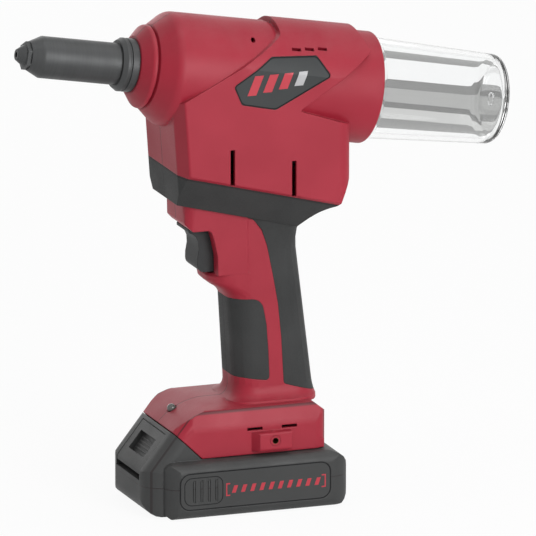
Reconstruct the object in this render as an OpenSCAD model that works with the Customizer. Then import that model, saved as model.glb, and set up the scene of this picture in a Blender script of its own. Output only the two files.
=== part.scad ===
// Battery rivet tool in millimetres: X to the nose, Y to the tool's left, Z up,
// origin in the middle of the battery's bottom face.

/* [Stance] */
// Angle of the barrel above the base, degrees
barrel_tilt = 10; // [8:0.5:12]
// Height of the barrel axis over the middle of the base
axis_height = 243.5; // [241:0.5:247]

/* [Nose] */
// Radius of the hole for the rivet mandrel
mandrel_bore_r = 1.6; // [1.2:0.1:2.2]
// Length of the nosepiece cone
tip_len = 4.4; // [3.5:0.1:6]
// Length of the nosepiece hexagon
hex_len = 2.4; // [2:0.1:4]
// Radius of the nose tube
tube_r = 11.75; // [11.3:0.05:12.6]
// Length of the nose tube ahead of the lock ring
tube_len = 52.2; // [50:0.2:56]
// Radius of the lock ring
lock_r = 15; // [14.4:0.1:16]
// Length of the lock ring
lock_len = 9.3; // [8:0.1:11]

/* [Barrel] */
// Distance from the middle to the face of the nose ring
nose_face = 58.8; // [58:0.2:61]
// Radius of the nose ring
ring_r = 23.4; // [23:0.1:25]
// Step of the raised shroud over the barrel
shroud_step = 2.5; // [2:0.1:3]
// Step of the rear collar under the barrel
collar_step = 0.6; // [0.4:0.1:1]
// Distance from the middle to the rear face of the collar
rear_face = 81.4; // [80:0.2:84]
// Wall of the housing
wall = 2.5; // [2.2:0.1:2.8]

/* [Body] */
// Step of the body's flat sides over the barrel
side_step = 1; // [0.8:0.1:1.4]
// Distance from the middle to the front of the lower body
body_front = 40.7; // [40:0.2:43]
// Distance from the middle to the back of the lower body
body_rear = 62; // [61.5:0.5:65]
// Angle of the soft band under the body, degrees
band_angle = 14.3; // [13:0.1:15]
// Depth of the band's upper edge under the barrel axis
band_depth = 58.5; // [57:0.5:60]
// Depth of the band
band_drop = 17.6; // [17:0.1:18.5]

/* [Handle] */
// Width of the handle
handle_width = 36.5; // [36:0.5:38]
// Thickness of the soft grips
grip_thick = 1.5; // [1:0.1:1.8]
// Depth of the trigger's middle under the barrel axis
trigger_depth = 96.5; // [96:0.5:98]
// Width of the trigger
trigger_width = 20; // [18:0.5:21]
// Distance the trigger is pressed
trigger_travel = 5; // [3:0.5:5.5]

/* [Foot] */
// Width of the foot
foot_width = 62; // [61:0.5:64]
// Height of the foot
foot_height = 27.4; // [26.4:0.1:28.4]
// Radius of the belt hook thread's core
hook_core_r = 1.65; // [1.3:0.05:2]
// Radius of the work light
light_r = 2.5; // [2:0.1:3]

/* [Battery] */
// Width of the battery
battery_width = 78; // [77:0.5:80]
// Distance from the middle to the back of the battery
battery_rear = 59; // [58:0.5:61]
// Height of the battery's block
battery_height = 32; // [31.5:0.1:32.2]
// Height of the seam between the battery's cases
seam_height = 17.5; // [17.2:0.1:18.4]
// Width of the release button
button_width = 37; // [34:0.5:38]
// Distance the release button is pressed
button_travel = 3; // [2:0.1:3.2]
// Radius of a battery cell
cell_r = 9.2; // [9:0.05:9.3]

/* [Container] */
// Step of the container under the rear collar
cup_step = 3; // [2.6:0.1:3.4]
// Taper of the container's radius over its length
cup_taper = 3.4; // [2.8:0.1:3.8]
// Length of the container behind the collar
cup_len = 79.3; // [76:0.5:84]
// Wall of the container
cup_wall = 2.4; // [2:0.1:2.8]

/* [Drive] */
// Module of the drive gear and its pinion
gear_module = 1.25; // [1.24:0.005:1.26]
// Width of the drive gear
gear_width = 12; // [10:0.5:12]
// Radius of the spindle
spindle_r = 7; // [6.8:0.05:7.1]
// Radius of the hole through the spindle
spindle_bore_r = 3.6; // [3.4:0.05:3.8]
// Radius of the motor
motor_r = 17.5; // [17:0.1:18]
// Length of the motor can
motor_len = 46; // [44:0.5:47]
// Length of the pulling head
head_len = 32; // [31:0.5:33]

/* [Hidden] */
$fn = 96;
e = 0.02;
play = 0.3;
nodes_gap = 0.1;
half_foot = foot_width / 2;
half_handle = handle_width / 2;
half_pack = battery_width / 2;
foot_bottom = battery_height + 0.6;
foot_top = foot_bottom + foot_height;
hook_z = foot_bottom + 7.8;
band_height = axis_height - band_depth;
trigger_z = axis_height - trigger_depth;

// Stations along the barrel axis, counted forward from its middle
ring_back = nose_face - 8.7;
cone_back = ring_back - 9.6;
lock_front = nose_face + lock_len;
tube_front = lock_front + tube_len;
tip_front = tube_front + hex_len + tip_len;
neck_r = lock_r - 0.4;
gear_back = 10;
gear_front = gear_back + gear_width;
seat_back = 24;
seat_front = 30;
flange_front = 34;
thrust_front = 40;
plate_back = 2;
plate_front = 9.5;

// Gears
gear_teeth = 40;
pinion_teeth = 20;
sun_teeth = 12;
planet_teeth = 21;
ring_teeth = 54;
planet_module = 0.6;
gear_tip = gear_module * (gear_teeth / 2 + 0.8);
drop = gear_module * (gear_teeth + pinion_teeth) / 2;
planet_orbit = planet_module * (sun_teeth + planet_teeth) / 2;
gearbox_r = motor_r + 1.5;
carrier_front = 7;
carrier_back = 4;
planet_front = 3.6;
planet_back = -4.4;
box_front = 7.3;
box_back = -6;
motor_back = box_back - motor_len;
cap_len = 4;

// Barrel round the drive gear, and what steps out from it
frame_wall = 2.2;
frame_r = gear_tip + 0.4 + frame_wall;
barrel_r = frame_r + 0.9 + wall;
shroud_r = barrel_r + shroud_step;
half_body = barrel_r + side_step;
rear_collar_r = barrel_r - collar_step;
cup_r = rear_collar_r - cup_step;
cup_end_r = cup_r - cup_taper;

// Pulling head
head_r = tube_r - 3.4;
head_back = 72;
head_front = head_back + head_len;
cone_front_r = 4.2;
cone_back_r = 6.4;
jaw_front = head_front - 2;
jaw_back = jaw_front - 12;
thread_front = head_back + 7;

// Rear of the barrel
spindle_back = -30;
sleeve_r = 13;
sleeve_back = -56;
bulkhead_back = -60;
neck_front = -rear_face + 11.4;
collar_in = rear_collar_r - wall;

// Front of the foot and the battery's head
foot_rear = 47.7;
nib = [42.3, foot_top - 12.5];
heel = [27, foot_bottom];
head_face = 60;
pocket_back = 44;
pocket_floor = 20;
button_floor = pocket_floor + button_travel + 0.5;
rail_top = battery_height + 12;

// Back of the trigger, and the switch behind it
trigger_back = 8;
switch_front = trigger_back - trigger_travel - 1;

// Screws through the housing: place along X, height, half width there
screws = [[-56, band_height + 13, half_body - 2], [32, band_height + 2, half_body - 8.5],
    [-31, trigger_z - 21, half_handle - 2], [-22, grip_z(0.207), half_handle - 0.6],
    [-39, foot_top - 7, half_foot - 5], [19, foot_top - 7, half_foot - 5]];
pack_screws = [[5.2 - battery_rear, half_pack - 11], [5.2 - battery_rear, 11 - half_pack],
    [52, button_width / 2 + 5.9], [52, -button_width / 2 - 5.9]];
screw_sink = 4;
cell_pitch = 2 * cell_r + 0.1;
cell_front = 32.4;
cell_z = 13;
cell_half = half_pack - 6.5;

function unit(v) = v / norm(v);
function turn(a) = a > 180 ? a - 360 : a < -180 ? a + 360 : a;
function flat(p) = [p[0], p[1]];
function corner(a, p, b, r, n) = r <= 0 ? [p] :
    let (u = unit(a - p), v = unit(b - p), half = acos(u * v) / 2,
        c = p + unit(u + v) * r / sin(half),
        s = p + u * r / tan(half) - c, t = p + v * r / tan(half) - c,
        a0 = atan2(s[1], s[0]), da = turn(atan2(t[1], t[0]) - a0))
    [for (i = [0 : n]) c + r * [cos(a0 + da * i / n), sin(a0 + da * i / n)]];
function rounded(pts, n = 5) = let (k = len(pts)) [for (i = [0 : k - 1])
    each corner(flat(pts[(i + k - 1) % k]), flat(pts[i]), flat(pts[(i + 1) % k]), pts[i][2], n)];
function band_z(x) = band_height + x * tan(band_angle);
function grip_z(f) = foot_top + f * (trigger_z - foot_top);
function cone_at(h) = cone_back_r - (cone_back_r - cone_front_r) * (h - jaw_back + 2) / (head_front - jaw_back);

// Half angle of a gear tooth at radius r, for an involute of pressure angle 25 degrees
function inv(a) = tan(a) * 180 / PI - a;
function tooth_half(n, m, r, slack) = let (rb = n * m / 2 * cos(25))
    90 / n - slack / (n * m) * 180 / PI + inv(25) - inv(r > rb ? acos(rb / r) : 0);
function gear_points(n, m, up, down, slack) = let (
    ra = n * m / 2 + up * m, rr = n * m / 2 - down * m, rp = n * m / 2,
    rs = [rr, max(rr + 0.02, n * m / 2 * cos(25) + 0.01), rp, ra])
    [for (i = [0 : n - 1]) each concat(
        [for (k = [0 : 3]) let (a = i * 360 / n - tooth_half(n, m, rs[k], slack)) rs[k] * [cos(a), sin(a)]],
        [for (k = [3 : -1 : 0]) let (a = i * 360 / n + tooth_half(n, m, rs[k], slack)) rs[k] * [cos(a), sin(a)]])];

module on_axis() translate([0, 0, axis_height]) rotate([0, 90 - barrel_tilt, 0]) children();
module on_motor() on_axis() translate([drop, 0, 0]) children();
module rod(a, b, r) translate([0, 0, a]) cylinder(r = r, h = b - a);
module pipe(a, b, ro, ri) difference() { rod(a, b, ro); rod(a - 1, b + 1, ri); }
module lathe(pts) rotate_extrude() polygon(pts);
module side_prism(pts, w = 140) rotate([90, 0, 0]) translate([0, 0, -w / 2]) linear_extrude(w) polygon(pts);
module plan_prism(pts, z0, z1) translate([0, 0, z0]) linear_extrude(z1 - z0) polygon(pts);
module cross_prism(pts, x0, x1) translate([x0, 0, 0]) rotate([90, 0, 90]) linear_extrude(x1 - x0) polygon(pts);
module block(a, b) translate(a) cube(b - a);
module across(x, z, y0, y1, r) translate([x, y0, z]) rotate([-90, 0, 0]) cylinder(r = r, h = y1 - y0);
module half_space(s) translate([-250, s > 0 ? 0 : -150, -20]) cube([500, 150, 400]);
module mirror_side(s) { if (s > 0) children(); else mirror([0, 1, 0]) children(); }

// Helical spring along Z from a to b, as a ring-by-ring sweep
module coil(a, b, r, wire, turns) {
    n = turns * 14;
    m = 6;
    pts = [for (i = [0 : n]) let (t = i * 360 / 14, z = a + wire + (b - a - 2 * wire) * i / n)
        for (k = [0 : m - 1]) let (q = k * 360 / m)
            [(r + wire * cos(q)) * cos(t), (r + wire * cos(q)) * sin(t), z + wire * sin(q)]];
    faces = concat(
        [[for (k = [0 : m - 1]) k]],
        [[for (k = [m - 1 : -1 : 0]) n * m + k]],
        [for (i = [0 : n - 1]) for (k = [0 : m - 1])
            [i * m + k, (i + 1) * m + k, (i + 1) * m + (k + 1) % m]],
        [for (i = [0 : n - 1]) for (k = [0 : m - 1])
            [i * m + k, (i + 1) * m + (k + 1) % m, i * m + (k + 1) % m]]);
    polyhedron(pts, faces);
}

// Solid through a stack of outlines with equally many points, from the lowest up: height, outline
module loft(stack) {
    m = len(stack);
    n = len(stack[0][1]);
    pts = [for (s = stack) for (q = s[1]) [q[0], q[1], s[0]]];
    faces = concat(
        [[for (k = [0 : n - 1]) k]],
        [[for (k = [n - 1 : -1 : 0]) (m - 1) * n + k]],
        [for (j = [0 : m - 2]) for (k = [0 : n - 1]) [j * n + k, (j + 1) * n + k, (j + 1) * n + (k + 1) % n]],
        [for (j = [0 : m - 2]) for (k = [0 : n - 1]) [j * n + k, (j + 1) * n + (k + 1) % n, j * n + (k + 1) % n]]);
    polyhedron(pts, faces);
}

// Outer forms of the housing, drawn in by i for the layers under the skin
module barrel_form() on_axis() lathe(rounded([[0, -rear_face, 0], [rear_collar_r, -rear_face, 1.2],
    [rear_collar_r, -18, 0], [barrel_r, -16, 0], [barrel_r, cone_back, 8], [ring_r + 0.6, ring_back, 0],
    [ring_r - 1.9, ring_back + 0.7, 0], [ring_r, ring_back + 1.6, 0], [ring_r, ring_back + 3.4, 2.6],
    [lock_r + 1.6, nose_face, 1], [0, nose_face, 0]]));

module barrel_hollow() on_axis() lathe([[0, -rear_face - 1], [collar_in, -rear_face - 1], [collar_in, -18],
    [barrel_r - wall, -16], [barrel_r - wall, cone_back - 1], [ring_r - wall - 1, ring_back - 0.8],
    [ring_r - wall - 1, ring_back + 2], [neck_r + play, ring_back + 2], [neck_r + play, nose_face + 1],
    [0, nose_face + 1]]);

module shroud_form(i) on_axis() intersection() {
    union() {
        rod(-96, 62, shroud_r - i);
        block([0, -60, -96], [56, 60, 62]);
    }
    block([-60, -half_body + i, -97], [60, half_body - i, 63]);
}

module shroud_side() intersection() {
    side_prism(rounded([[44, axis_height - 8.6, 0], [-24, axis_height + 25.1, 3],
        [-28, axis_height + 60, 0], [-58, axis_height + 60, 0], [-76, axis_height + 12.5, 2],
        [-30, axis_height - 16, 3], [-40, axis_height - 38, 0], [44, axis_height - 38, 0]]));
    front_lean(0);
}

// Flat front of the body with bevelled upright edges, leaning back toward the band
module front_lean(i) translate([body_front - i, 0, axis_height - 26]) rotate([0, 4, 0])
    plan_prism(rounded([[-160, -half_body + i, 0], [0.38 * i - 4.5, -half_body + i, 1.6], [0, 9 + 0.24 * i - half_body, 3],
        [0, half_body - 9 - 0.24 * i, 3], [0.38 * i - 4.5, half_body - i, 1.6], [-160, half_body - i, 0]], 4), -90, 60);

module lower_form(i) intersection() {
    front_lean(i);
    plan_prism(rounded([[80, half_body - i, 0], [-body_rear + i, half_body - i, 9 - i],
        [-body_rear + i, -half_body + i, 9 - i], [80, -half_body + i, 0]], 6), band_height - 45, axis_height + 1.5);
    side_prism(rounded([[body_front + 6, axis_height - 8 - i, 0], [body_front + 6, band_z(body_front) - band_drop - 20, 0],
        [-20, band_height - 30 + i, 0], [-33 + i, band_height - 27 + i, 0], [-38.5 + i, band_height - 21.8 + i, 18],
        [-43.4 + i, band_height - 18.1 + i, 18], [-48.4 + i, band_height - 15.8 + i, 18], [-54 + i, band_height - 14.2 + i, 3],
        [-body_rear + 0.4 + i, band_height + 2, 12 - i], [-body_rear + i, axis_height - 27 - i, 1], [-30, axis_height - 16 - i, 0]]));
    translate([0, 0, band_height]) rotate([0, -band_angle, 0]) cross_prism([[half_body - i, 90], [-half_body + i, 90],
        [-half_body + i, 1.5], [-half_body + 2 + i, 0], [-20 + i, -band_drop + i], [20 - i, -band_drop + i],
        [half_body - 2 - i, 0], [half_body - i, 1.5]], -80, 60);
}

function handle_outline(x0, x1, w, i) = rounded([[x0 + i, -w + i, 15 - i], [x1 - i, -w + i, 12 - i],
    [x1 - i, w - i, 12 - i], [x0 + i, w - i, 15 - i]]);
module handle_form(i, sink = 0) loft([
    [foot_top - 3 - sink, handle_outline(-47.9 - sink * 0.119, 0.2 - sink * 0.062, half_handle, i)],
    [band_height - 19, handle_outline(-35, 6.9, half_handle - 1, i)]]);

// Sweep from the back of the handle into the band: drop under the band, back, half width
neck_steps = [[-42, -37.7, 17.4], [-36, -37.6, 17.5], [-31, -38.3, 17.8], [-27, -39.8, 18.4], [-23.4, -42.2, 19.3],
    [-19.6, -46, 20.2], [-15, -52, 21]];
module neck_form(i) intersection() {
    loft([for (p = neck_steps) [band_height + p[0], handle_outline(p[1], -4, p[2], i)]]);
    grip_region();
}

// Housing round the trigger, and the round lip under it: height from the trigger's middle, front
lip_steps = [[-31, 3.2], [-27, 5.4], [-23.8, 8.6], [-21, 13.2], [-18.4, 16], [-15.4, 16.6], [-13.5, 14.8]];
module guard_form(i) translate([0, 0, trigger_z]) intersection() {
    side_prism(rounded([[-5, 29, 0], [-5, -14, 0], [12.6 - i, -14, 0], [12.8 - i, -3, 8], [15 - i, 7, 8], [16.6 - i, 12.5, 3.4], [27.5 - i, 12.5 + i, 1.2],
        [31.4 - i, 16.5, 2], [32.4 - i, 31, 0]]));
    plan_prism(rounded([[-30, -17.6 + i, 0], [32.5 - i, -17.6 + i, 7], [32.5 - i, 17.6 - i, 7], [-30, 17.6 - i, 0]]), -47, 43);
}
module lip_form() translate([0, 0, trigger_z]) loft([for (p = lip_steps)
    [p[0], rounded([[-10, -17.5, 0], [p[1], -17.5, 12.5], [p[1], 17.5, 12.5], [-10, 17.5, 0]])]]);

// Slope over the front of the foot and the battery's head, with rounded side edges
module slope_form(i) translate([nib[0], 0, nib[1]]) rotate([0, -38.5, 0])
    plan_prism(rounded([[-160, -half_foot + i, 0], [-i, -half_foot + i, 9 - i], [-i, half_foot - i, 9 - i], [-160, half_foot - i, 0]], 6), -60, 60);

module foot_form(i) intersection() {
    side_prism(rounded([[-foot_rear + i, foot_bottom - i * 4, 0], [-foot_rear + i, foot_top - i, 4],
        [30.1 - i, foot_top - i, 36], [nib[0] - i, nib[1], 0],
        i > 0 ? [nib[0] - i, foot_bottom - i * 4, 0] : [heel[0], heel[1], 0]], 7));
    plan_prism(rounded([[-foot_rear + i, -half_foot + i, 8 - i], [80, -half_foot + i, 0],
        [80, half_foot - i, 0], [-foot_rear + i, half_foot - i, 8 - i]]), 0, 80);
    slope_form(i);
    cross_prism(rounded([[-half_foot + i, 0, 0], [half_foot - i, 0, 0], [half_foot - i, foot_top - 11, 14], [half_foot - 3.4 - i, foot_top - 1.3 - i, 1.4],
        [half_foot - 17, foot_top - 0.4 - i, 0], [0, foot_top + 0.2 - i, 0], [17 - half_foot, foot_top - 0.4 - i, 0],
        [3.4 - half_foot + i, foot_top - 1.3 - i, 1.4], [-half_foot + i, foot_top - 11, 14]]), -80, 80);
}

// Round from the handle into the foot: height over the foot, step out
flare_steps = [[-2.5, 5.2], [0, 5], [0.9, 3.2], [2.2, 1.8], [4.2, 0.7], [7, 0.1], [14, 0]];
module flare_form(i) loft([for (p = flare_steps) [foot_top + p[0], handle_outline(max(-foot_rear + 0.3, 0.119 * (p[0] - 14) - 45.9),
    1.2 + 0.06 * (p[0] - 14) + p[1], half_handle - 0.2 + p[1], i)]]);

module hook_block(s) mirror_side(s) difference() {
    cross_prism(rounded([[half_foot - 2, hook_z - 5.7, 0], [half_foot + 4.4, hook_z - 5.7, 1], [half_foot + 5, hook_z - 4.4, 1],
        [half_foot + 5, hook_z + 4.8, 1], [half_foot - 2, hook_z + 4.8, 0]], 3), -24.6, -2.1);
    translate([-2.1, half_foot, hook_z - 10]) rotate([0, 0, 35]) cube([8, 10, 20]);
}

// What stays under the soft grips and pads
module under_grip() {
    lower_form(grip_thick);
    handle_form(grip_thick);
    neck_form(grip_thick);
    guard_form(0);
    lip_form();
    flare_form(grip_thick);
}
module grip_region() side_prism(rounded([[48, band_z(48), 0], [-72, band_z(-72), 0], [-72, foot_top + 0.6, 0],
    [-46.9, foot_top + 1.4, 0], [-25.9, foot_top + 8, 2], [-25.5, grip_z(0.176), 0], [-24.5, grip_z(0.4), 0],
    [-22.6, grip_z(0.624), 0], [-19.4, grip_z(0.831), 0], [-16.2, band_height - 36.9, 0],
    [-13, band_height - 27.4, 0], [-8.2, band_height - 21.4, 4], [0, band_z(0) - band_drop - 0.6, 0], [48, band_z(48) - band_drop - 0.6, 0]]));
module pad_region() side_prism(rounded([[20, trigger_z - 29, 0], [-13, trigger_z - 29, 7], [-15.8, grip_z(0.494), 0],
    [-16.9, grip_z(0.314), 0], [-17.5, foot_top + 10.6, 2], [-3.3, foot_top + 12.6, 0], [20, foot_top + 13, 0]]));
module grip_cut() difference() { grip_region(); under_grip(); }
module pad_cut() difference() { pad_region(); handle_form(grip_thick); }
module label_region() side_prism(rounded([[8.9, axis_height + 1.4, 2], [-14.6, axis_height + 15.8, 2],
    [-42, axis_height + 13.8, 2], [-49.1, axis_height + 2.4, 2], [-15.8, axis_height - 14, 3], [4.2, axis_height - 9.6, 2]]));
module label_cut() difference() { label_region(); shroud_form(0.7); }

module housing_solid() {
    barrel_form();
    intersection() { shroud_form(0); shroud_side(); }
    lower_form(0);
    handle_form(0);
    neck_form(0);
    guard_form(0);
    lip_form();
    foot_form(0);
    flare_form(0);
    hook_block(1);
    hook_block(-1);
}

module housing_hollow() {
    barrel_hollow();
    lower_form(wall);
    handle_form(wall, 3);
    guard_form(wall);
    foot_form(wall);
    block([-3, -trigger_width / 2 - play, trigger_z - 14], [40, trigger_width / 2 + play, trigger_z + 12.5 + play]);
}

// Vent slots, side grooves and hook tab slots, cut in both sides
module side_cuts() {
    for (k = [-1 : 1]) for (s = [-1, 1]) on_axis() rotate([0, 0, 180 - s * (47 - k * 1.6)])
        translate([shroud_r, 0, -34.9 - k * 7.9]) cube([16, 2, 5.4], center = true);
    for (s = [-1, 1]) {
        across(-7, axis_height + 23.7, s > 0 ? 10 : -30, s > 0 ? 30 : -10, 1.3);
        for (p = [9.6, -26.7]) translate([p, s * half_body, band_z(p) + 11]) cube([2.6, 8, 20.5], center = true);
        for (p = [-4.2, -24.6]) translate([p, s * half_foot, hook_z + 6.5]) cube([9, 12, 1.7], center = true);
    }
    translate([33.4, 0, foot_top - 6.2]) rotate([0, 35, 0]) cylinder(r1 = light_r + 0.2, r2 = light_r + 5, h = 9);
    translate([33.4, 0, foot_top - 6.2]) rotate([0, 35, 0]) rod(-8, 1, light_r);
}

module screw_bosses(s) for (p = screws) mirror_side(s) across(p[0], p[1], 0, p[2] - 2, 4.2);

module motor_rib(h) on_motor() translate([0, 0, h]) difference() {
    block([-15, -half_body + 1, 0], [25, half_body - 1, 2.2]);
    rod(-1, 4, motor_r);
}

module housing_half(s) color([0.68, 0.2, 0.26]) mirror_side(-s) difference() {
    intersection() {
        union() {
            difference() { housing_solid(); housing_hollow(); }
            screw_bosses(-1);
            intersection() { union() { motor_rib(-22); motor_rib(-44); } lower_form(1); }
            block([-45.5, -half_foot + 1, foot_bottom], [26, -20.4, foot_bottom + 5]);
            across(-14.6, hook_z, -half_foot - 2, -half_foot + 5.4, 5.2);
        }
        half_space(-1);
    }
    grip_cut();
    pad_cut();
    label_cut();
    side_cuts();
    for (p = screws) {
        across(p[0], p[1], s > 0 ? -14 : -60, 20, 1.5);
        if (s < 0) across(p[0], p[1], -60, -p[2] + 3, 3.1);
    }
    across(-14.6, hook_z, -half_foot - 10, -half_foot + 4, 3);
}
module housing_left() housing_half(1);
module housing_right() housing_half(-1);

module grip_half(s) color([0.16, 0.16, 0.17]) difference() {
    intersection() {
        union() { lower_form(0); handle_form(0); neck_form(0); flare_form(0); }
        grip_cut();
        half_space(s);
    }
    for (p = screws) across(p[0], p[1], -60, -p[2] + 3, 3.4);
}
module grip_left() grip_half(1);
module grip_right() grip_half(-1);

module pad_half(s) color([0.16, 0.16, 0.17]) intersection() {
    handle_form(0);
    pad_cut();
    half_space(s);
}
module pad_left() pad_half(1);
module pad_right() pad_half(-1);

module label_half(s) color([0.35, 0.35, 0.36]) intersection() {
    shroud_form(0.15);
    label_cut();
    half_space(s);
}
module label_left() label_half(1);
module label_right() label_half(-1);

module housing_screws() color([0.25, 0.25, 0.26]) for (p = screws) difference() {
    union() {
        across(p[0], p[1], -p[2] + 3.5, 12, 1.5);
        across(p[0], p[1], -p[2] + 0.8, -p[2] + 3, 2.9);
        across(p[0], p[1], -p[2] + 2.9, -p[2] + 3.6, 1.5);
    }
    across(p[0], p[1], -p[2], -p[2] + 2, 1.1);
}

// Nose
module nosepiece() color([0.2, 0.2, 0.21]) on_axis() difference() {
    union() {
        lathe([[0, tube_front + hex_len], [5.9, tube_front + hex_len], [5.7, tube_front + hex_len + 0.6],
            [3.1, tip_front], [0, tip_front]]);
        translate([0, 0, tube_front + e]) linear_extrude(hex_len)
            polygon([for (k = [0 : 5]) 8.1 * [cos(k * 60), sin(k * 60)]]);
        rod(tube_front - 10, tube_front + 1, 5);
        rod(head_front - 1.4, tube_front - 9, 3.4);
    }
    rod(head_front - 3, tip_front + 1, mandrel_bore_r);
}

module nose_tube() color([0.2, 0.2, 0.21]) on_axis() difference() {
    union() {
        lathe([[0, lock_front], [tube_r, lock_front], [tube_r, tube_front - 7.4], [8.1, tube_front], [0, tube_front]]);
        rod(nose_face - 8.8, lock_front + 1, neck_r - 3.6);
    }
    rod(tube_front - 10, tube_front + 1, 5);
    rod(nose_face - 10, tube_front - 9.9, head_r + 0.45);
}

module lock_ring() color([0.24, 0.24, 0.25]) on_axis() difference() {
    lathe([[0, nose_face], [lock_r, nose_face], [lock_r, nose_face + 4], [lock_r - 0.8, nose_face + 4.4],
        [lock_r - 0.8, nose_face + 5], [lock_r, nose_face + 5.4], [lock_r, lock_front - 2.4],
        [lock_r - 1.6, lock_front], [0, lock_front]]);
    rod(nose_face - 1, lock_front + 1, neck_r - 3.6);
}

// Frames and bearings
module front_frame() color([0.6, 0.6, 0.62]) on_axis() difference() {
    union() {
        rod(ring_back - 2, nose_face, neck_r);
        rod(thrust_front - 2, ring_back - 1.5, ring_r - wall - 2.4);
        rod(plate_front, cone_back - 2.4, frame_r);
        translate([drop, 0, 0]) rod(gear_front + 1, gear_front + 6.4, 9);
        block([14, -9, gear_front + 1], [drop, 9, gear_front + 6.4]);
    }
    rod(plate_front - 1, seat_back, frame_r - frame_wall);
    rod(seat_back - 1, seat_front, 17);
    rod(seat_front - 1, thrust_front, 15.5);
    rod(thrust_front - 1, nose_face - 8.8, head_r + 0.8);
    rod(nose_face - 8.9, nose_face + 1, neck_r - 3.6);
    translate([drop, 0, 0]) {
        rod(plate_front - 1, gear_front + 1, gear_module * pinion_teeth / 2 + 2.2);
        rod(gear_front, gear_front + 8, 7);
    }
}

module rear_plate() color([0.6, 0.6, 0.62]) on_axis() difference() {
    rod(plate_back, plate_front, frame_r);
    rod(3, plate_front + 1, 14);
    rod(plate_back - 1, 4, spindle_r + 2.6);
    translate([drop, 0, 0]) {
        rod(plate_back - 1, plate_front + 1, gearbox_r);
    }
}

module ball_bearing(a, b, ri, ro) color([0.7, 0.7, 0.72]) on_axis() difference() {
    rod(a, b, ro);
    rod(a - 1, b + 1, ri);
    lathe([[ri * 0.62 + ro * 0.38, b - 0.6], [ri * 0.38 + ro * 0.62, b - 0.6], [ri * 0.38 + ro * 0.62, b + 1], [ri * 0.62 + ro * 0.38, b + 1]]);
}
module front_bearing() ball_bearing(seat_back, seat_front - nodes_gap, 11 + 0.05, 17);
module rear_bearing() ball_bearing(3, plate_front - 0.5, 9 + 0.05, 14);
module thrust_bearing() ball_bearing(flange_front + nodes_gap, thrust_front, head_r + 1.2, 15.5);

module guide_sleeve() color([0.55, 0.55, 0.57]) on_axis() difference() {
    rod(sleeve_back, plate_back, sleeve_r);
    rod(sleeve_back - 1, plate_back + 1, spindle_r + play);
    block([-sleeve_r - 1, -3.3, sleeve_back + 1], [0, 3.3, plate_back - 6]);
}

module bulkhead() color([0.15, 0.15, 0.16]) on_axis() difference() {
    union() {
        rod(bulkhead_back, sleeve_back, collar_in);
        rod(bulkhead_back - 6, bulkhead_back + 1, 7);
    }
    rod(bulkhead_back - 7, sleeve_back + 1, spindle_bore_r - 0.2);
}

module mandrel_tube() color([0.65, 0.65, 0.67]) on_axis()
    pipe(bulkhead_back - 24, spindle_back + 8, spindle_bore_r - 0.2, spindle_bore_r - 1);

// Gearbox and motor
module ring_gear() color([0.5, 0.5, 0.52]) on_motor() difference() {
    rod(box_back, box_front, gearbox_r);
    translate([0, 0, box_back - 1]) linear_extrude(box_front - box_back + 2)
        polygon(gear_points(ring_teeth, planet_module, 1.2, 0.8, -0.12));
}
module gearbox_cover() color([0.45, 0.45, 0.47]) on_motor() pipe(box_front, plate_front - 0.2, gearbox_r, 4 + play);
module pinion_bush() color([0.72, 0.55, 0.25]) on_motor() pipe(gear_front + 1, gear_front + 6.4, 7, 4.05);

module motor_can() color([0.42, 0.42, 0.44]) on_motor() difference() {
    rod(motor_back, box_back, motor_r);
    rod(motor_back - 1, box_back - 2, motor_r - 1.5);
    rod(box_back - 3, box_back + 1, 4.4);
}
module motor_magnets() color([0.12, 0.12, 0.13]) on_motor() difference() {
    pipe(motor_back + 8, box_back - 6, motor_r - 1.5, motor_r - 4.5);
    block([-1.5, -30, motor_back], [1.5, 30, box_back]);
}
module motor_cap() color([0.14, 0.14, 0.15]) on_motor() difference() {
    union() {
        rod(motor_back - cap_len, motor_back, motor_r);
        rod(motor_back - 1, motor_back + 3, motor_r - 1.5);
    }
    rod(motor_back - 1.5, motor_back + 4, 7);
    rod(motor_back - 6, motor_back + 4, 1.65);
}
module rotor() color([0.35, 0.3, 0.28]) on_motor() {
    difference() {
        rod(motor_back + 10, box_back - 8, motor_r - 5);
        for (k = [0 : 4]) rotate(k * 72) block([motor_r - 9, -1.1, motor_back], [motor_r, 1.1, box_back]);
    }
    rod(motor_back + 2, motor_back + 11, 4.5);
    rod(motor_back - 3, planet_back - 1, 1.6);
    difference() {
        rod(box_back - 7, box_back - 4, motor_r - 5);
        for (k = [0 : 8]) rotate(k * 40) block([5, -0.8, box_back - 8], [motor_r, 2.2, box_back - 3]);
    }
    rod(box_back - 8.5, box_back - 3.5, 3);
    translate([0, 0, planet_back - 1.2]) linear_extrude(planet_front - planet_back + 1.2)
        polygon(gear_points(sun_teeth, planet_module, 0.8, 1.1, 0.12));
}

module planet_carrier() color([0.55, 0.55, 0.57]) on_motor() {
    rod(carrier_back, carrier_front, 13);
    rod(carrier_front - 1, gear_front + 6, 4);
    for (k = [0 : 2]) rotate(k * 120) translate([planet_orbit, 0, 0]) rod(planet_back - 0.8, carrier_back + 1, 2);
    translate([0, 0, gear_back]) rotate(180 + 180 / pinion_teeth) linear_extrude(gear_width)
        polygon(gear_points(pinion_teeth, gear_module, 0.8, 1.1, 0.16));
}

module planet(k) color([0.62, 0.6, 0.55]) on_motor() rotate(k * 120) translate([planet_orbit, 0, 0]) difference() {
    translate([0, 0, planet_back]) rotate(180 + 180 / planet_teeth) linear_extrude(planet_front - planet_back)
        polygon(gear_points(planet_teeth, planet_module, 0.8, 1.1, 0.12));
    rod(planet_back - 1, planet_front + 1, 2.05);
}
module planet_gear_1() planet(0);
module planet_gear_2() planet(1);
module planet_gear_3() planet(2);

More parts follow.
